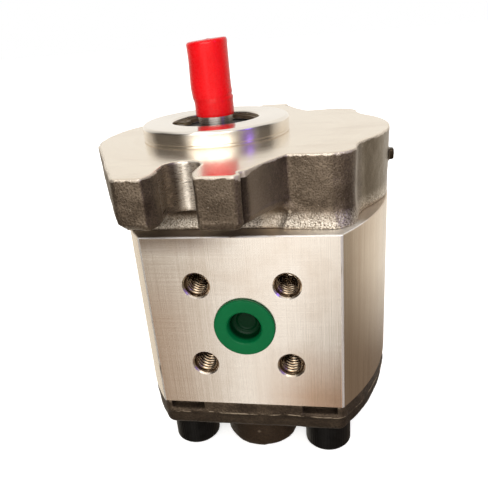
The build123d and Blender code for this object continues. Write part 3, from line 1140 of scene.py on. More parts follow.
@dataclass(frozen=True)
class ThreadCut(Finish):
    """Cut thread: bright crests over roots darkened with painted shade."""

    name: str = "thread_aluminium"
    crest: Colour = tone(236, 224, 206)
    # painted shade in the thread roots
    root: Colour = tone(106, 88, 68)
    middle: Span = (0.0135, -0.05225)
    half: float = 0.01414

    def paint(self, t: Tree, shader: Node, where: Socket) -> None:
        """Colour by the distance from the axis of the nearest hole."""
        x, _, z = t.split(where)
        reach = t.length(*(
            t.minus(t.size(t.minus(part, middle)), self.half)
            for part, middle in zip((x, z), self.middle)))
        # painted shade in the thread roots
        crest = t.scale(reach, 0.0036, 0.0032)
        t.put(shader.inputs["Base Color"],
              t.blend(crest, self.root, self.crest))
        shader.inputs["Roughness"].default_value = 0.14
        shader.inputs["Metallic"].default_value = 1.0


@dataclass(frozen=True)
class BlackOxide(Finish):
    """Blackened steel with an oily sheen."""

    name: str = "steel_blackened"
    base: Colour = tone(13, 12, 11)
    rough: float = 0.36

    def paint(self, t: Tree, shader: Node, where: Socket) -> None:
        """Cloudy black with worn edges that carry a painted highlight."""
        cloud = t.noise(where, 400.0, 4.0, 0.6)
        edge = t.use(edge_wear_and_shading(), Vector=where)
        colour = t.blend(t.scale(cloud, 0.35, 0.7), self.base,
                         tuple(c * 2.0 for c in self.base))
        # edge wear with a painted edge highlight
        colour = t.blend(t.times(edge.outputs["Edge"], 0.25),
                         colour, tone(84, 78, 70))
        t.put(shader.inputs["Base Color"], colour)
        t.put(shader.inputs["Roughness"], t.scale(
            cloud, 0.3, 0.7, self.rough - 0.06, self.rough + 0.12))
        shader.inputs["Metallic"].default_value = 0.3
        shader.inputs["Specular IOR Level"].default_value = 0.14
        relief(t, shader, t.noise(where, 2600.0, 2.0), 0.000012)


@dataclass(frozen=True)
class SoftPlastic(Finish):
    """Moulded soft plastic, slightly cloudy, with a low sheen.

    Behind cup_y, measured from the pump's middle, it is shaded like the
    inside of a cup.
    """

    name: str = "plastic"
    base: Colour = tone(226, 22, 30)
    deep: Colour = tone(176, 8, 16)
    rough: float = 0.28
    coat: float = 0.4
    glow: float = 0.08
    ripple: float = 0.00003
    sheen: float = 0.22
    cup_y: float = 0.0

    def paint(self, t: Tree, shader: Node, where: Socket) -> None:
        """Cloudy colour, ripples and a faint glow from inside."""
        cloud = t.noise(where, 90.0, 2.0, 0.5)
        colour = t.blend(t.scale(cloud, 0.3, 0.8, 0.0, 0.4), self.base,
                         self.deep)
        # painted shade: darker where the surface turns away from view
        rim = t.add("LayerWeight", None, Blend=0.3).outputs["Facing"]
        colour = t.blend(t.times(rim, 0.5), colour, self.deep)
        if self.cup_y:
            back = t.scale(t.size(t.split(where)[1]),
                           self.cup_y + 0.0012, self.cup_y)
            colour = t.blend(back, colour,
                             tuple(c * 0.3 for c in self.deep))
        t.put(shader.inputs["Base Color"], colour)
        t.put(shader.inputs["Roughness"], t.scale(
            t.noise(where, 900.0, 3.0), 0.3, 0.7, self.rough - 0.05,
            self.rough + 0.08))
        shader.inputs["Specular IOR Level"].default_value = self.sheen
        shader.inputs["Coat Weight"].default_value = self.coat
        shader.inputs["Coat Roughness"].default_value = 0.12
        shader.inputs["Subsurface Weight"].default_value = self.glow
        shader.inputs["Subsurface Radius"].default_value = (
            0.002, 0.0008, 0.0006)
        relief(t, shader, t.noise(where, 260.0, 3.0, 0.5, 0.3), self.ripple)


@dataclass(frozen=True)
class GroundSteel(Finish):
    """Ground shaft steel."""

    name: str = "steel_ground"
    base: Colour = tone(205, 205, 206)
    rough: Span = (0.16, 0.26)

    def paint(self, t: Tree, shader: Node, where: Socket) -> None:
        """Grinding lines round the axis."""
        fine = t.noise(t.stretch(where, (8.0, 8.0, 9000.0)), 1.0, 3.0)
        t.put(shader.inputs["Base Color"], t.blend(
            t.scale(fine, 0.35, 0.7), self.base,
            tuple(c * 0.8 for c in self.base)))
        t.put(shader.inputs["Roughness"],
              t.scale(fine, 0.3, 0.7, *self.rough))
        shader.inputs["Metallic"].default_value = 1.0
        shader.inputs["Anisotropic"].default_value = 0.85
        shader.inputs["Anisotropic Rotation"].default_value = 0.25
        relief(t, shader, fine, 0.000001)


@dataclass(frozen=True)
class Rubber(Finish):
    """Black moulded rubber."""

    name: str = "rubber_black"
    base: Colour = tone(22, 20, 19)

    def paint(self, t: Tree, shader: Node, where: Socket) -> None:
        """Fine matt skin with a trace of oil."""
        cloud = t.noise(where, 600.0, 4.0)
        t.put(shader.inputs["Base Color"], t.blend(
            t.scale(cloud, 0.35, 0.7), self.base, tone(40, 37, 34)))
        t.put(shader.inputs["Roughness"],
              t.scale(cloud, 0.3, 0.7, 0.34, 0.6))
        relief(t, shader, t.noise(where, 3000.0, 2.0), 0.00001)


COVER = CastAndTurned()
TURNED = TurnedMetal()
BODY = MilledBody()
IRON = CastIron()
BLACK = BlackOxide()
DARK_RING = BlackOxide("steel_phosphated", tone(92, 80, 62), 0.4)
RED = SoftPlastic("vinyl_red", tone(232, 14, 22), tone(186, 2, 10), 0.26,
                  0.12, 0.0, 0.00004, 0.2)
GREEN = SoftPlastic("polyethylene_green", tone(0, 94, 50),
                    tone(0, 72, 36), 0.42, 0.0, 0.0, 0.00002, 0.12, 0.0438)
STEEL = GroundSteel("steel_ground", tone(218, 214, 208), (0.22, 0.3))
BRONZE = GroundSteel("bronze_bush", tone(196, 150, 92), (0.2, 0.34))
SPRING = GroundSteel("steel_spring", tone(150, 152, 156), (0.2, 0.3))
RUBBER = Rubber()


# ---------------------------------------------------------- sub-assemblies
@dataclass
class FrontCover:
    """Cast flange cover, its pilot and the bore inside it."""

    sizes: PumpSizes
    step: float = 0.5
    under_r: float = 1.8
    fillet: float = 4.5
    flare: float = 2.0
    crease: Span = (19.5, 56.25)
    crease_r: float = 1.45
    lobe_round: float = 7.2
    inner_r: float = 24.0
    gate: tuple[float, float, float] = (1.3, 1.5, 1.8)
    gate_z: float = -9.8

    def flange(self) -> list[Span]:
        """Outline of the plate with nose, flanks and ear blocks.

        Returns:
            The points, counter-clockwise.
        """
        s = self.sizes
        half = [(31.8, -34.0, 0), (29.7, -36.9, 0.3),
                (27.3, -40.2, 6.0), (24.0, -45.6, 9.0), (18.9, -56.1, 0.6),
                (18.6, -s.ear_y, 2.4), (-15.6, -s.ear_y, 3.0),
                (-38.0, -15.4, 5.0)]
        mirror = [(x, -y, r) for x, y, r in reversed(half)]
        nose = [(x, y, 0.0) for x, y in arc(0, 0, s.nose_r, 200, 160, 16)]
        return rounded(half + nose + mirror)

    def pad(self, x: Array, y: Array) -> Array:
        """Distance to the outline of the wall that stands on the body.

        Args:
            x, y: sample points.

        Returns:
            Signed distances.
        """
        s = self.sizes
        reach, big = s.barrel
        left_x = s.centre_x - reach + big
        left = np.hypot(x - left_x, y) - big
        slab = np.maximum(left, np.abs(y) - s.wall_y)
        slab = soft_max(slab, x - 40.0, 1.0)
        bulge = np.hypot(x - s.bulge_x, y) - s.bulge_r
        cx = (s.lobe_x0 + s.lobe_x1) / 2 - 4.0
        hx = (s.lobe_x1 - s.lobe_x0) / 2 + 4.0
        lobes = round_max(np.abs(x - cx) - hx, np.abs(y) - s.lobe_y,
                          self.lobe_round)
        start = s.lobe_x0 + 0.6 - x
        slope = (np.abs(y) - s.lobe_y + 1.3 - 0.16 * (x - s.lobe_x0)) * 0.98
        lobes = np.maximum(np.maximum(lobes, slope), start)
        return soft_min(np.minimum(slab, bulge), lobes, 4.2)

    def slot(self, x: Array, y: Array) -> Array:
        """Distance to both open slots, with flared mouths."""
        s = self.sizes
        out = np.abs(y)
        tube = np.hypot(x, np.minimum(out - s.slot_y, 0)) - s.slot_r
        mouth = ramp(out, s.ear_y - 6.5, s.ear_y + 1.5)
        return tube - 1.7 * mouth

    def field(self, grid: Grid) -> Array:
        """Distance field of the casting.

        Args:
            grid: sample points.

        Returns:
            The field.
        """
        s = self.sizes
        x, y = grid.plan()
        z = grid.levels()
        plate2 = outline_distance(x, y, self.flange())[:, :, None]
        pad2 = self.pad(x, y)[:, :, None]
        # plate: drafted walls, a flash line and a rounded underside
        lip = 0.32 * np.exp(-((z + s.ear_t - 2.2) / 0.4) ** 2)
        wall = plate2 - 0.008 * z - lip
        below = -s.ear_t - z
        r = self.under_r + 2.6 * ramp(x, -6.0, -15.0)[:, :, None]
        plate = round_max(wall, below, r)
        skirt = ramp(-z, 14.0, 22.0) ** 2 * ramp(
            x, s.lobe_x1 + 3.5, s.lobe_x1 - 4.5)[:, :, None]
        pad = pad2 + 0.35 - self.flare * skirt + 0.25 * ramp(-z, 0, 12)
        blend = 0.5 + self.fillet * ramp(-z, s.ear_t - 2.6, s.ear_t + 1.5)
        cast = soft_min(plate, pad, blend)
        crease = self.crease_r - np.hypot(
            x - self.crease[0], np.abs(y) - self.crease[1])
        cast = soft_max(cast, crease[:, :, None], 0.5)
        slot = self.slot(x, y)[:, :, None]
        cast = soft_max(cast, -slot, 0.7)
        gx, gy, gz = self.gate
        gate = np.maximum(np.abs(x - s.bulge_x - s.bulge_r)[:, :, None] - gx,
                          np.maximum(np.abs(y)[:, :, None] - gy,
                                     np.abs(z - self.gate_z) - gz))
        cast = soft_min(cast, gate, 0.8)
        cast = grid.roughen(cast, 1.2, ((3.2, 0.06, 11), (1.2, 0.045, 12),
                                        (9.0, 0.16, 13)))
        tube = np.hypot(x, np.minimum(np.abs(y) - s.slot_y, 0)) - s.slot_r
        cast = np.maximum(cast, -tube[:, :, None])
        cast = np.maximum(cast, z)
        cast = np.maximum(cast, s.body_top - z)
        bore = self.inner_r - np.hypot(x, y)
        return np.maximum(cast, bore[:, :, None]).astype(np.float32)

    def casting(self) -> Piece:
        """Flange plate, ears, wall and screw lobes in one casting."""
        s = self.sizes
        low, high = s.cover_low, s.cover_high
        h = self.step
        grid = Grid((low.x - 1.6 * h, low.y - 1.6 * h, s.body_top - 2.5 * h),
                    (high.x + 2 * h, high.y + 2 * h, 2.5 * h), h)
        verts, faces = grid.surface(self.field(grid))
        verts = np.clip(verts, np.array(low), np.array(high))
        verts[verts[:, 2] > -0.12 * h, 2] = 0.0
        piece = store("flange_casting", verts, faces)
        COVER.dress(piece)
        return piece

    def pilot(self) -> Piece:
        """Turned spigot with the seal bore and the ring groove."""
        s = self.sizes
        r, h, bore = s.pilot_r, s.pilot_h, 15.0
        profile = [
            (24.3, s.body_top, 0), (24.3, -0.3, 0), (r - 0.35, -0.3, 0),
            (r - 0.35, 0.42, 0.1), (r, 0.62, 0.1), (r, h - 0.75, 0.3),
            (r - 0.75, h, 0.3), (bore + 0.55, h, 0.25),
            (bore, h - 0.5, 0.15), (bore, 3.7, 0.05),
            (bore + 0.8, 3.7, 0.05), (bore + 0.8, 2.3, 0.05),
            (bore, 2.3, 0.05), (bore, -5.0, 0.1), (8.4, -5.0, 0.2),
            (8.0, -5.4, 0.1), (8.0, s.body_top, 0), (24.3, s.body_top, 0)]
        verts, faces = lathe(eased(profile), 192)
        piece = store("pilot_spigot", verts, faces)
        crisp(piece, 40)
        TURNED.dress(piece)
        return piece

    def build(self) -> list[Piece]:
        """Make and place the cover's pieces."""
        pieces = [self.casting(), self.pilot()]
        for piece in pieces:
            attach(piece, Body.HOUSING.value)
            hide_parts("front_cover")
        return pieces


@dataclass
class RearCover:
    """Cast iron end plate with bosses, seam and pry slots."""

    sizes: PumpSizes
    step: float = 0.55
    corner_r: float = 4.0
    edge_r: float = 2.2
    seat_r: float = 9.2
    hole_r: float = 5.3

    def outline(self) -> list[Span]:
        """Barrel outline with rounded corners."""
        s = self.sizes
        reach, big = s.barrel
        span = math.degrees(math.asin(s.body_high.y / big))
        right = arc(s.centre_x + reach - big, 0, big, -span, span, 40)
        left = arc(s.centre_x - reach + big, 0, big, 180 - span, 180 + span,
                   40)
        shape = []
        for side in (right, left):
            last = len(side) - 1
            shape += [(x, y, self.corner_r if i in (0, last) else 0.0)
                      for i, (x, y) in enumerate(side)]
        ends = {0, 40, 41, 81}
        trimmed = [p for i, p in enumerate(shape)
                   if i in ends or (i % 41) not in (1, 2, 38, 39)]
        return rounded(trimmed)

    def field(self, grid: Grid) -> Array:
        """Distance field of the cover."""
        s = self.sizes
        x, y = grid.plan()
        z = grid.levels()
        flat = outline_distance(x, y, self.outline())[:, :, None]
        seam = s.body_bottom - 4.1
        up = np.abs(z - seam)
        flash = 0.30 * np.exp(-(up / 0.4) ** 2)
        wall = flat + 0.30 + 0.05 * up - flash
        r = self.edge_r
        below = s.rear_bottom - z
        plate = round_max(wall, below, r)
        foot = s.rear_low.z
        out = np.abs(y) - s.boss_y
        round2 = (np.hypot(x - s.centre_x, out) - s.boss_r)[:, :, None]
        boss = soft_max(round2 + 0.03 * (s.rear_bottom - z),
                        foot + 0.02 - z, 3.2)
        cover = soft_min(plate, np.maximum(boss, z - s.rear_bottom - 3), 3.0)
        spots = (np.hypot(np.abs(x - s.centre_x) - s.screw_x,
                          np.abs(y) - s.screw_y))[:, :, None]
        cover = grid.roughen(cover, 1.3, ((3.6, 0.12, 21), (1.4, 0.08, 22),
                                          (12.0, 0.16, 23)))
        cover = np.where(spots < self.seat_r, np.maximum(
            cover, s.rear_bottom + 0.02 - z), cover)
        cover = np.maximum(cover, self.hole_r - spots)
        pry = np.maximum(
            np.abs(np.abs(x - s.centre_x) - s.pry_x) - 5.65,
            s.body_high.y - 4.0 - np.abs(y))[:, :, None]
        pry = np.maximum(pry, s.body_bottom - 3.0 - z)
        cover = soft_max(cover, -pry, 0.4)
        return np.maximum(cover, z - s.body_bottom).astype(np.float32)

    def build(self) -> Piece:
        """Make and place the cover."""
        s = self.sizes
        h = self.step
        low, high = s.rear_low, s.rear_high
        grid = Grid(
            (low.x - 1.7 * h, low.y - 1.7 * h, low.z - 1.7 * h),
            (high.x + 2 * h, high.y + 2 * h, s.body_bottom + 2.5 * h), h)
        verts, faces = grid.surface(self.field(grid))
        verts = np.clip(verts, np.array(low), np.array(high))
        piece = store("rear_casting", verts, faces)
        IRON.dress(piece)
        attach(piece, Body.HOUSING.value)
        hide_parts("rear_cover")
        return piece


@dataclass
class PortThreads:
    """Threads in the tapped holes round both ports."""

    sizes: PumpSizes
    major: float = 3.98
    depth_of_thread: float = 0.85
    pitch: float = 1.5
    length: float = 15.4
    around: int = 48

    def hole(self, cx: float, cz: float, side: int) -> Mesh:
        """Closed liner with a helical inner wall.

        Args:
            cx, cz: axis of the hole.
            side: -1 for the inlet face, 1 for the outlet face.

        Returns:
            Vertices and faces.
        """
        rows = int(self.length / self.pitch * 8)
        depth = np.linspace(0.55, self.length, rows)
        turn = np.linspace(0, 2 * math.pi, self.around, endpoint=False)
        d, a = np.meshgrid(depth, turn, indexing="ij")
        phase = (d / self.pitch - a / (2 * math.pi)) % 1.0
        wave = np.clip(np.abs(phase - 0.5) * 2.6 - 0.35, 0, 1)
        fade = ramp(d, 0.5, 1.6)
        inner = self.major - self.depth_of_thread * wave * fade
        outer = np.full_like(inner, self.major + 0.01)
        radius = np.concatenate([inner, outer[::-1]])
        d2 = np.concatenate([d, d[::-1]])
        a2 = np.concatenate([a, a[::-1]])
        y = side * (self.sizes.body_high.y - d2)
        verts = np.stack([cx + radius * np.cos(a2), y,
                          cz + radius * np.sin(a2)], -1).reshape(-1, 3)
        total, n = len(radius), self.around
        faces = []
        for i in range(total):
            j = (i + 1) % total
            for k in range(n):
                m = (k + 1) % n
                quad = [i * n + k, j * n + k, j * n + m, i * n + m]
                faces.append(quad if side > 0 else quad[::-1])
        return verts, faces

    def build(self) -> list[Piece]:
        """Make the liners of both faces."""
        s = self.sizes
        half = s.port_pitch / 2
        pieces = []
        for side, name in ((-1, "inlet_threads"), (1, "outlet_threads")):
            verts: list[Array] = []
            faces: list[list[int]] = []
            count = 0
            for dx in (-half, half):
                for dz in (-half, half):
                    v, f = self.hole(s.centre_x + dx, s.port_z + dz, side)
                    faces += [[i + count for i in q] for q in f]
                    count += len(v)
                    verts.append(v)
            piece = store(name, np.concatenate(verts), faces)
            ThreadCut().dress(piece)
            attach(piece, Body.HOUSING.value)
            pieces.append(piece)
        return pieces


@dataclass
class Fasteners:
    """Socket head cap screws and their washers under the rear cover."""

    sizes: PumpSizes
    head_r: float = 8.0
    head_h: float = 11.6
    washer_t: float = 2.2
    knurls: int = 54

    def screw(self) -> Mesh:
        """One screw on the Z axis, head down.

        Returns:
            Vertices and faces.
        """
        under = self.sizes.rear_bottom - self.washer_t
        base = under - self.head_h
        r, seg = self.head_r, self.knurls * 4
        socket = 4.0
        profile = eased([
            (0.0, -7.0, 0), (4.0, -7.0, 0.2), (5.0, -8.0, 0.2),
            (5.0, under + 0.4, 0.2), (5.5, under, 0.2), (r - 0.3, under, 0.2),
            (r, under - 0.3, 0.15), (r, under - 1.0, 0), (r, base + 1.3, 0.2),
            (r - 1.0, base + 0.12, 0.5), (r - 1.8, base, 0.3),
            (5.2, base, 0.2), (4.65, base + 0.35, 0.1),
            (4.6, base + 5.0, 0.1), (0.0, base + 5.8, 0)], 3)

        def bend(radius: Array, angle: Array, z: Array) -> Array:
            """Knurl the head's side and make the socket six-sided."""
            height, rad = float(z[0]), float(radius[0])
            out = radius.copy()
            if base + 1.2 < height < under - 0.9 and rad > r - 0.1:
                out = out - 0.10 * (0.5 + 0.5 * np.cos(angle * self.knurls))
            if rad < 5.0 and height < base + 6 and height > base - 1:
                sector = (angle + math.pi / 6) % (math.pi / 3) - math.pi / 6
                out = np.minimum(socket / np.cos(sector), 4.62)
            return np.stack([out * np.cos(angle), out * np.sin(angle), z], 1)
        return lathe(profile, seg, bend)

    def washer(self) -> Mesh:
        """Washer ring on the Z axis."""
        top = self.sizes.rear_bottom
        profile = eased([
            (5.3, top, 0), (8.5, top, 0.2), (8.55, top - self.washer_t, 0.2),
            (5.3, top - self.washer_t, 0.1), (5.3, top, 0)], 3)
        return lathe(profile, 96)

    def build(self) -> list[Piece]:
        """Make and place the screws and washers."""
        s = self.sizes
        pieces = []
        number = 0
        for dx in (-s.screw_x, s.screw_x):
            for dy in (-s.screw_y, s.screw_y):
                number += 1
                turn = Matrix.Rotation(0.4 + 1.3 * number, 3, "Z")
                for kind, (verts, faces), finish, node in (
                        ("cap_screw", self.screw(), BLACK, "cap_screws"),
                        ("washer", self.washer(), DARK_RING,
                         "lock_washers")):
                    spun = verts @ np.array(turn).T
                    spun = spun + (s.centre_x + dx, dy, 0)
                    piece = store(f"{kind}_{number}", spun, faces)
                    crisp(piece, 35)
                    finish.dress(piece)
                    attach(piece, Body.HOUSING.value)
                    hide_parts(node)
                    pieces.append(piece)
        return pieces


@dataclass
class ShaftCap:
    """Soft dipped vinyl protector that leans a little off the shaft."""

    around: int = 128

    def build(self) -> Piece:
        """Make and place the protector."""
        low, high = (Vector(c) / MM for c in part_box("shaft_cap"))
        bottom, top = low.z, high.z
        middle = (low.x + high.x) / 2
        upper_r = (high.y - low.y) / 2 - 0.05
        lower_r, neck = 6.62, bottom + 5.2
        heights = np.concatenate([np.linspace(bottom, neck, 14)[1:],
                                  np.linspace(neck, top - 1.0, 60)[1:]])
        outer = []
        for z in heights:
            t = float(ramp(np.array(z), neck - 0.9, neck + 0.5))
            outer.append((lower_r + (upper_r - lower_r) * t, float(z)))
        shoulder = [(upper_r - 0.12, top - 0.55), (upper_r - 0.45, top - 0.16),
                    (upper_r - 1.0, top - 0.02), (upper_r - 2.4, top),
                    (2.5, top - 0.12), (0.0, top - 0.15)]
        inner = [(0.0, top - 1.3), (5.9, top - 1.3), (6.3, top - 2.0),
                 (6.3, neck + 0.8), (6.08, neck - 0.9),
                 (6.08, bottom + 0.2), (6.3, bottom)]
        profile = [(6.3, bottom), (lower_r - 0.1, bottom), *outer, *shoulder,
                   *inner]

        def bend(radius: Array, angle: Array, z: Array) -> Array:
            """Lean, ripples and the fold above the collar."""
            h, r = float(z[0]), float(radius[0])
            t = float(ramp(np.array(h), bottom + 2.5, top - 2))
            shift = middle * float(ramp(np.array(h), neck - 2, neck + 5))
            out = radius.copy()
            if r > 6.45:
                up = (h - bottom) / (top - bottom)
                right = np.maximum(np.cos(angle - 0.2), 0)
                fold = np.exp(-((h - neck - 0.1 - 1.2 * right) / 0.45) ** 2)
                out = out - fold * (0.1 + 0.22 * right ** 3)
                out = out + 0.07 * np.sin(2 * angle + 5 * up) * t
                out = out + 0.05 * np.sin(3 * angle - 9 * up + 1) * t
                out = out - 0.09 * t * (1 + np.cos(angle * 2 - 0.6)) * (
                    math.sin(up * math.pi))
            dip = 0.0
            if r > 6.35 or h > top - 0.6:
                dip = 0.45 * float(ramp(np.array(h), top - 7.0, top - 0.3))
            return np.stack([out * np.cos(angle) + shift,
                             out * np.sin(angle),
                             z - dip * (1.0 - out / 6.6 * np.cos(
                                 angle - 0.2))], 1)
        verts, faces = lathe(profile, self.around, bend)
        verts = np.clip(verts, np.array(low), np.array(high))
        piece = store("shaft_protector", verts, faces)
        crisp(piece, 60)
        RED.dress(piece)
        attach(piece, Body.CAP.value)
        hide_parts("shaft_cap")
        return piece


@dataclass
class PortPlug:
    """Soft flanged plug with a funnel cup."""

    sizes: PumpSizes
    node: str
    body: Body
    side: int
    around: int = 128

    def build(self) -> Piece:
        """Make and place the plug."""
        profile = eased([
            (0.0, -4.1, 0), (3.0, -4.2, 0.8), (3.5, -3.5, 0.3),
            (3.9, -3.5, 0.3), (4.7, -3.1, 0.8), (5.0, -0.4, 0.8),
            (5.45, 1.0, 0.3), (5.9, 1.36, 0.3),
            (8.6, 1.42, 0.4), (9.55, 1.3, 0.4), (9.82, 0.75, 0.3),
            (9.72, 0.12, 0.2), (9.2, 0.02, 0.1), (7.95, 0.02, 0.1),
            (7.93, -1.2, 0.3), (7.6, -9.6, 0.4), (7.0, -10.0, 0.3),
            (0.0, -10.0, 0)], 4)

        def bend(radius: Array, angle: Array, z: Array) -> Array:
            """Slight waviness of a moulded flange."""
            h, r = float(z[0]), float(radius[0])
            level = z
            if h > 0.3 and r > 6.5:
                level = z + 0.04 * np.sin(angle * 3 + 0.7)
            return np.stack([radius * np.cos(angle),
                             radius * np.sin(angle), level], 1)
        verts, faces = lathe(profile, self.around, bend)
        s = self.sizes
        face = self.side * s.body_high.y
        placed = np.stack([
            s.centre_x + verts[:, 0], face + self.side * verts[:, 2],
            s.port_z + verts[:, 1]], 1)
        if self.side > 0:
            faces = [f[::-1] for f in faces]
        low, high = (Vector(c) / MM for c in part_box(self.node))
        placed = np.clip(placed, np.array(low), np.array(high))
        piece = store(self.node + "_moulded", placed, faces)
        crisp(piece, 45)
        GREEN.dress(piece)
        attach(piece, self.body.value)
        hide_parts(self.node)
        return piece


@dataclass
class Internals:
    """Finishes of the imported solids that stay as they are."""

    finishes: dict[str, Finish] = field(default_factory=lambda: {
        "pump_body": BODY, "drive_shaft": STEEL, "driven_shaft": STEEL,
        "shaft_seal": RUBBER, "garter_spring": SPRING,
        "retaining_ring": DARK_RING})

    def build(self) -> list[Piece]:
        """Dress every remaining node."""
        dressed = []
        for node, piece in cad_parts.items():
            finish = self.finishes.get(node)
            if finish is None:
                finish = (BRONZE if "bush" in node else
                          RUBBER if "seal" in node else
                          STEEL if "dowel" in node else
                          TURNED if "block" in node else None)
            if finish is not None:
                for slot_number in range(max(1, len(piece.data.materials))):
                    if piece.data.materials:
                        piece.data.materials[slot_number] = finish.build()
                    else:
                        piece.data.materials.append(finish.build())
                dressed.append(piece)
        return dressed


# ---------------------------------------------------------------- studio
@dataclass
class Studio:
    """Camera, pale floor and soft light."""

    floor_z: float
    lens: float = 41.27459
    shift: Span = (-0.0078053, 0.0687848)
    azimuth: float = math.radians(11.818)
    elevation: float = math.radians(24.736)
    roll: float = math.radians(-4.962)
    slide: tuple[float, float, float] = (-1.137, -15.542, 175.832)
    port: tuple[float, float, float] = (13.35, -45.0, -52.4)
    floor_glow: Span = (0.1, 0.62)
    overhead: Colour = (0.95, 0.93, 0.9)
    above: Colour = (0.42, 0.405, 0.385)
    below: Colour = (0.40, 0.34, 0.27)
    deep: Colour = (0.22, 0.17, 0.13)
    low_bands: Bands = (
        (-7.0, 9.0, 6.0, (1.55, 1.5, 1.43)),
        (-69.0, 31.0, 8.0, (0.12, 0.10, 0.08)),
        (84.0, 20.0, 8.0, (0.10, 0.09, 0.075)),
        (180.0, 58.0, 18.0, (1.0, 0.94, 0.85)),
        (-180.0, 62.0, 12.0, (1.0, 0.93, 0.8)))
    bands: Bands = (
        (3.0, 37.0, 6.0, (1.35, 1.32, 1.27)),
        (61.0, 11.0, 5.0, (0.24, 0.15, 0.5)),
        (-69.0, 31.0, 8.0, (0.07, 0.06, 0.05)),
        (92.0, 17.0, 8.0, (0.09, 0.08, 0.07)),
        (180.0, 62.0, 16.0, (0.98, 0.95, 0.9)),
        (-180.0, 62.0, 16.0, (0.98, 0.95, 0.9)))

    def camera(self) -> Piece:
        """Camera above the inlet side, a little to its right."""
        ca, sa = math.cos(self.azimuth), math.sin(self.azimuth)
        ce, se = math.cos(self.elevation), math.sin(self.elevation)
        back = Vector((sa * ce, -ca * ce, se))
        right = Vector((ca, sa, 0))
        up = back.cross(right)
        cr, sr = math.cos(self.roll), math.sin(self.roll)
        across, above = cr * right + sr * up, -sr * right + cr * up
        rows = Matrix((across, above, back))
        tx, ty, d = self.slide
        eye = rows.transposed() @ Vector((-tx, -ty, d)) + Vector(self.port)
        data = bpy.data.cameras.new("camera")
        data.sensor_width = 36.0
        data.lens = self.lens
        data.shift_x, data.shift_y = self.shift
        data.clip_start, data.clip_end = 0.01, 20.0
        camera = bpy.data.objects.new("camera", data)
        camera.matrix_world = Matrix.Translation(
            eye * MM) @ rows.transposed().to_4x4()
        bpy.context.scene.collection.objects.link(camera)
        bpy.context.scene.camera = camera
        return camera

    def floor(self) -> Piece:
        """Large pale sheet under the pump."""
        z, r = self.floor_z, 4000.0
        piece = store("floor", np.array(
            [(-r, -r, z), (r, -r, z), (r, r, z), (-r, r, z)]), [(0, 1, 2, 3)],
            smooth=False)
        material, t, shader = stage_tree("floor_white")
        shader.inputs["Base Color"].default_value = (0.9, 0.89, 0.87, 1)
        shader.inputs["Roughness"].default_value = 0.9
        shader.inputs["Specular IOR Level"].default_value = 0.1
        shader.inputs["Emission Color"].default_value = (1, 1, 1, 1)
        seen = t.add("LightPath").outputs["Is Camera Ray"]
        t.put(shader.inputs["Emission Strength"],
              t.scale(seen, 0, 1, *self.floor_glow))
        piece.data.materials.append(material)
        piece.visible_glossy = False
        return piece

    def lamp(self, name: str, azimuth: float, elevation: float,
             distance: float, size: tuple[float, float], radiance: float,
             colour: Colour = (1, 1, 1)) -> None:
        """Soft box aimed at the pump.

        Args:
            name: its name.
            azimuth, elevation: its direction in degrees; azimuth 0 is
                towards -Y and grows towards +X.
            distance: how far away it stands, in millimetres.
            size: width and height in millimetres.
            radiance: brightness of its face.
            colour: tint.
        """
        a, e = math.radians(azimuth), math.radians(elevation)
        aim = Vector((self.port[0], 0, -25.0))
        way = Vector((math.sin(a) * math.cos(e), -math.cos(a) * math.cos(e),
                      math.sin(e)))
        data = bpy.data.lights.new(name, "AREA")
        data.shape = "RECTANGLE"
        data.size, data.size_y = size[0] * MM, size[1] * MM
        data.energy = radiance * math.pi * data.size * data.size_y
        data.color = colour
        lamp = bpy.data.objects.new(name, data)
        lamp.location = (aim + way * distance) * MM
        lamp.rotation_euler = (-way).to_track_quat("-Z", "Y").to_euler()
        bpy.context.scene.collection.objects.link(lamp)

    def striped(self, t: Tree, around: Socket, base: Colour,
                bands: Bands
                ) -> Socket:
        """Lay upright bands of light over a base.

        Args:
            t: the world's tree.
            around: azimuth in radians.
            base: light between the bands.
            bands: middle, half width and softness in degrees, and colour.

        Returns:
            The light.
        """
        light = base
        for middle, half, soft, colour in bands:
            away = t.size(t.minus(around, math.radians(middle)))
            inside = t.scale(away, math.radians(half + soft),
                             math.radians(half - soft))
            light = t.blend(inside, light, colour)
        return light

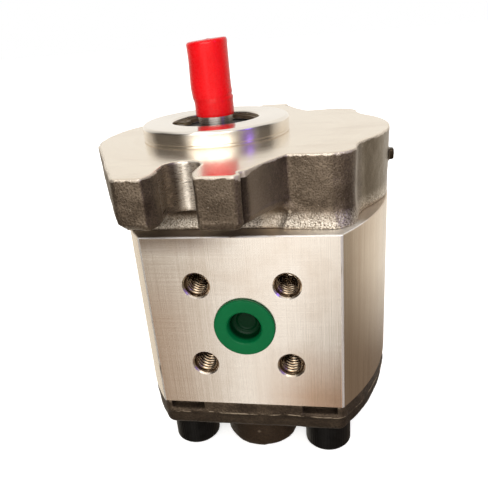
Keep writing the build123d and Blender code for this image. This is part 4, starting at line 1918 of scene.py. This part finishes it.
    def sky(self) -> None:
        """Soft surround: bright in front and behind, dark at the sides."""
        world = bpy.data.worlds.new("studio")
        bpy.context.scene.world = world
        world.use_nodes = True
        world.node_tree.nodes.clear()
        t = Tree(world.node_tree)
        x, y, z = t.split(t.add("TexCoord").outputs["Generated"])
        around = t.maths("ARCTAN2", x, t.times(y, -1.0))
        light, low = (
            self.striped(t, around, base, bands) for base, bands in
            ((self.above, self.bands), (self.below, self.low_bands)))
        light = t.blend(t.scale(z, 0.0, -0.06), light, low)
        deep = t.times(t.scale(z, -0.40, -0.54),
                       t.scale(around, -0.16, -0.02))
        light = t.blend(deep, light, self.deep)
        light = t.blend(t.scale(z, 0.62, 0.86), light, self.overhead)
        seen = t.add("LightPath").outputs["Is Camera Ray"]
        light = t.blend(seen, light, (1.0, 1.0, 1.0))
        shine = t.add("Background", None, Color=light, Strength=1.0)
        out = t.add("OutputWorld")
        t.put(out.inputs["Surface"], shine.outputs[0])

    def build(self) -> None:
        """Set everything up."""
        view = bpy.context.scene.view_settings
        view.view_transform = "Standard"
        view.look = "None"
        self.camera()
        self.floor()
        self.sky()
        self.lamp("front_box", 3, 30, 900, (900, 480), 2.2, (1, 0.99, 0.97))
        self.lamp("core_box", 8, 30, 880, (330, 330), 3.0, (1, 0.99, 0.98))
        self.lamp("blue_window", 63, 26, 900, (130, 180), 4.2,
                  (0.24, 0.14, 1.0))
        self.lamp("top_box", -30, 66, 800, (260, 160), 2.2)


def main() -> None:
    """Build the pump's looks in order."""
    logging.basicConfig(level=logging.INFO, format="%(name)s %(message)s")
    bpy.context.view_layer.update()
    sizes = PumpSizes.read()
    for part in (FrontCover(sizes), RearCover(sizes), PortThreads(sizes),
                 Fasteners(sizes), ShaftCap(),
                 PortPlug(sizes, "inlet_plug", Body.PLUG_IN, -1),
                 PortPlug(sizes, "outlet_plug", Body.PLUG_OUT, 1),
                 Internals()):
        made = part.build()
        for piece in made if isinstance(made, list) else [made]:
            LOG.info("%s: %s", type(part).__name__, piece.name)
    Studio(sizes.floor_z).build()


if __name__ == "__main__":
    main()
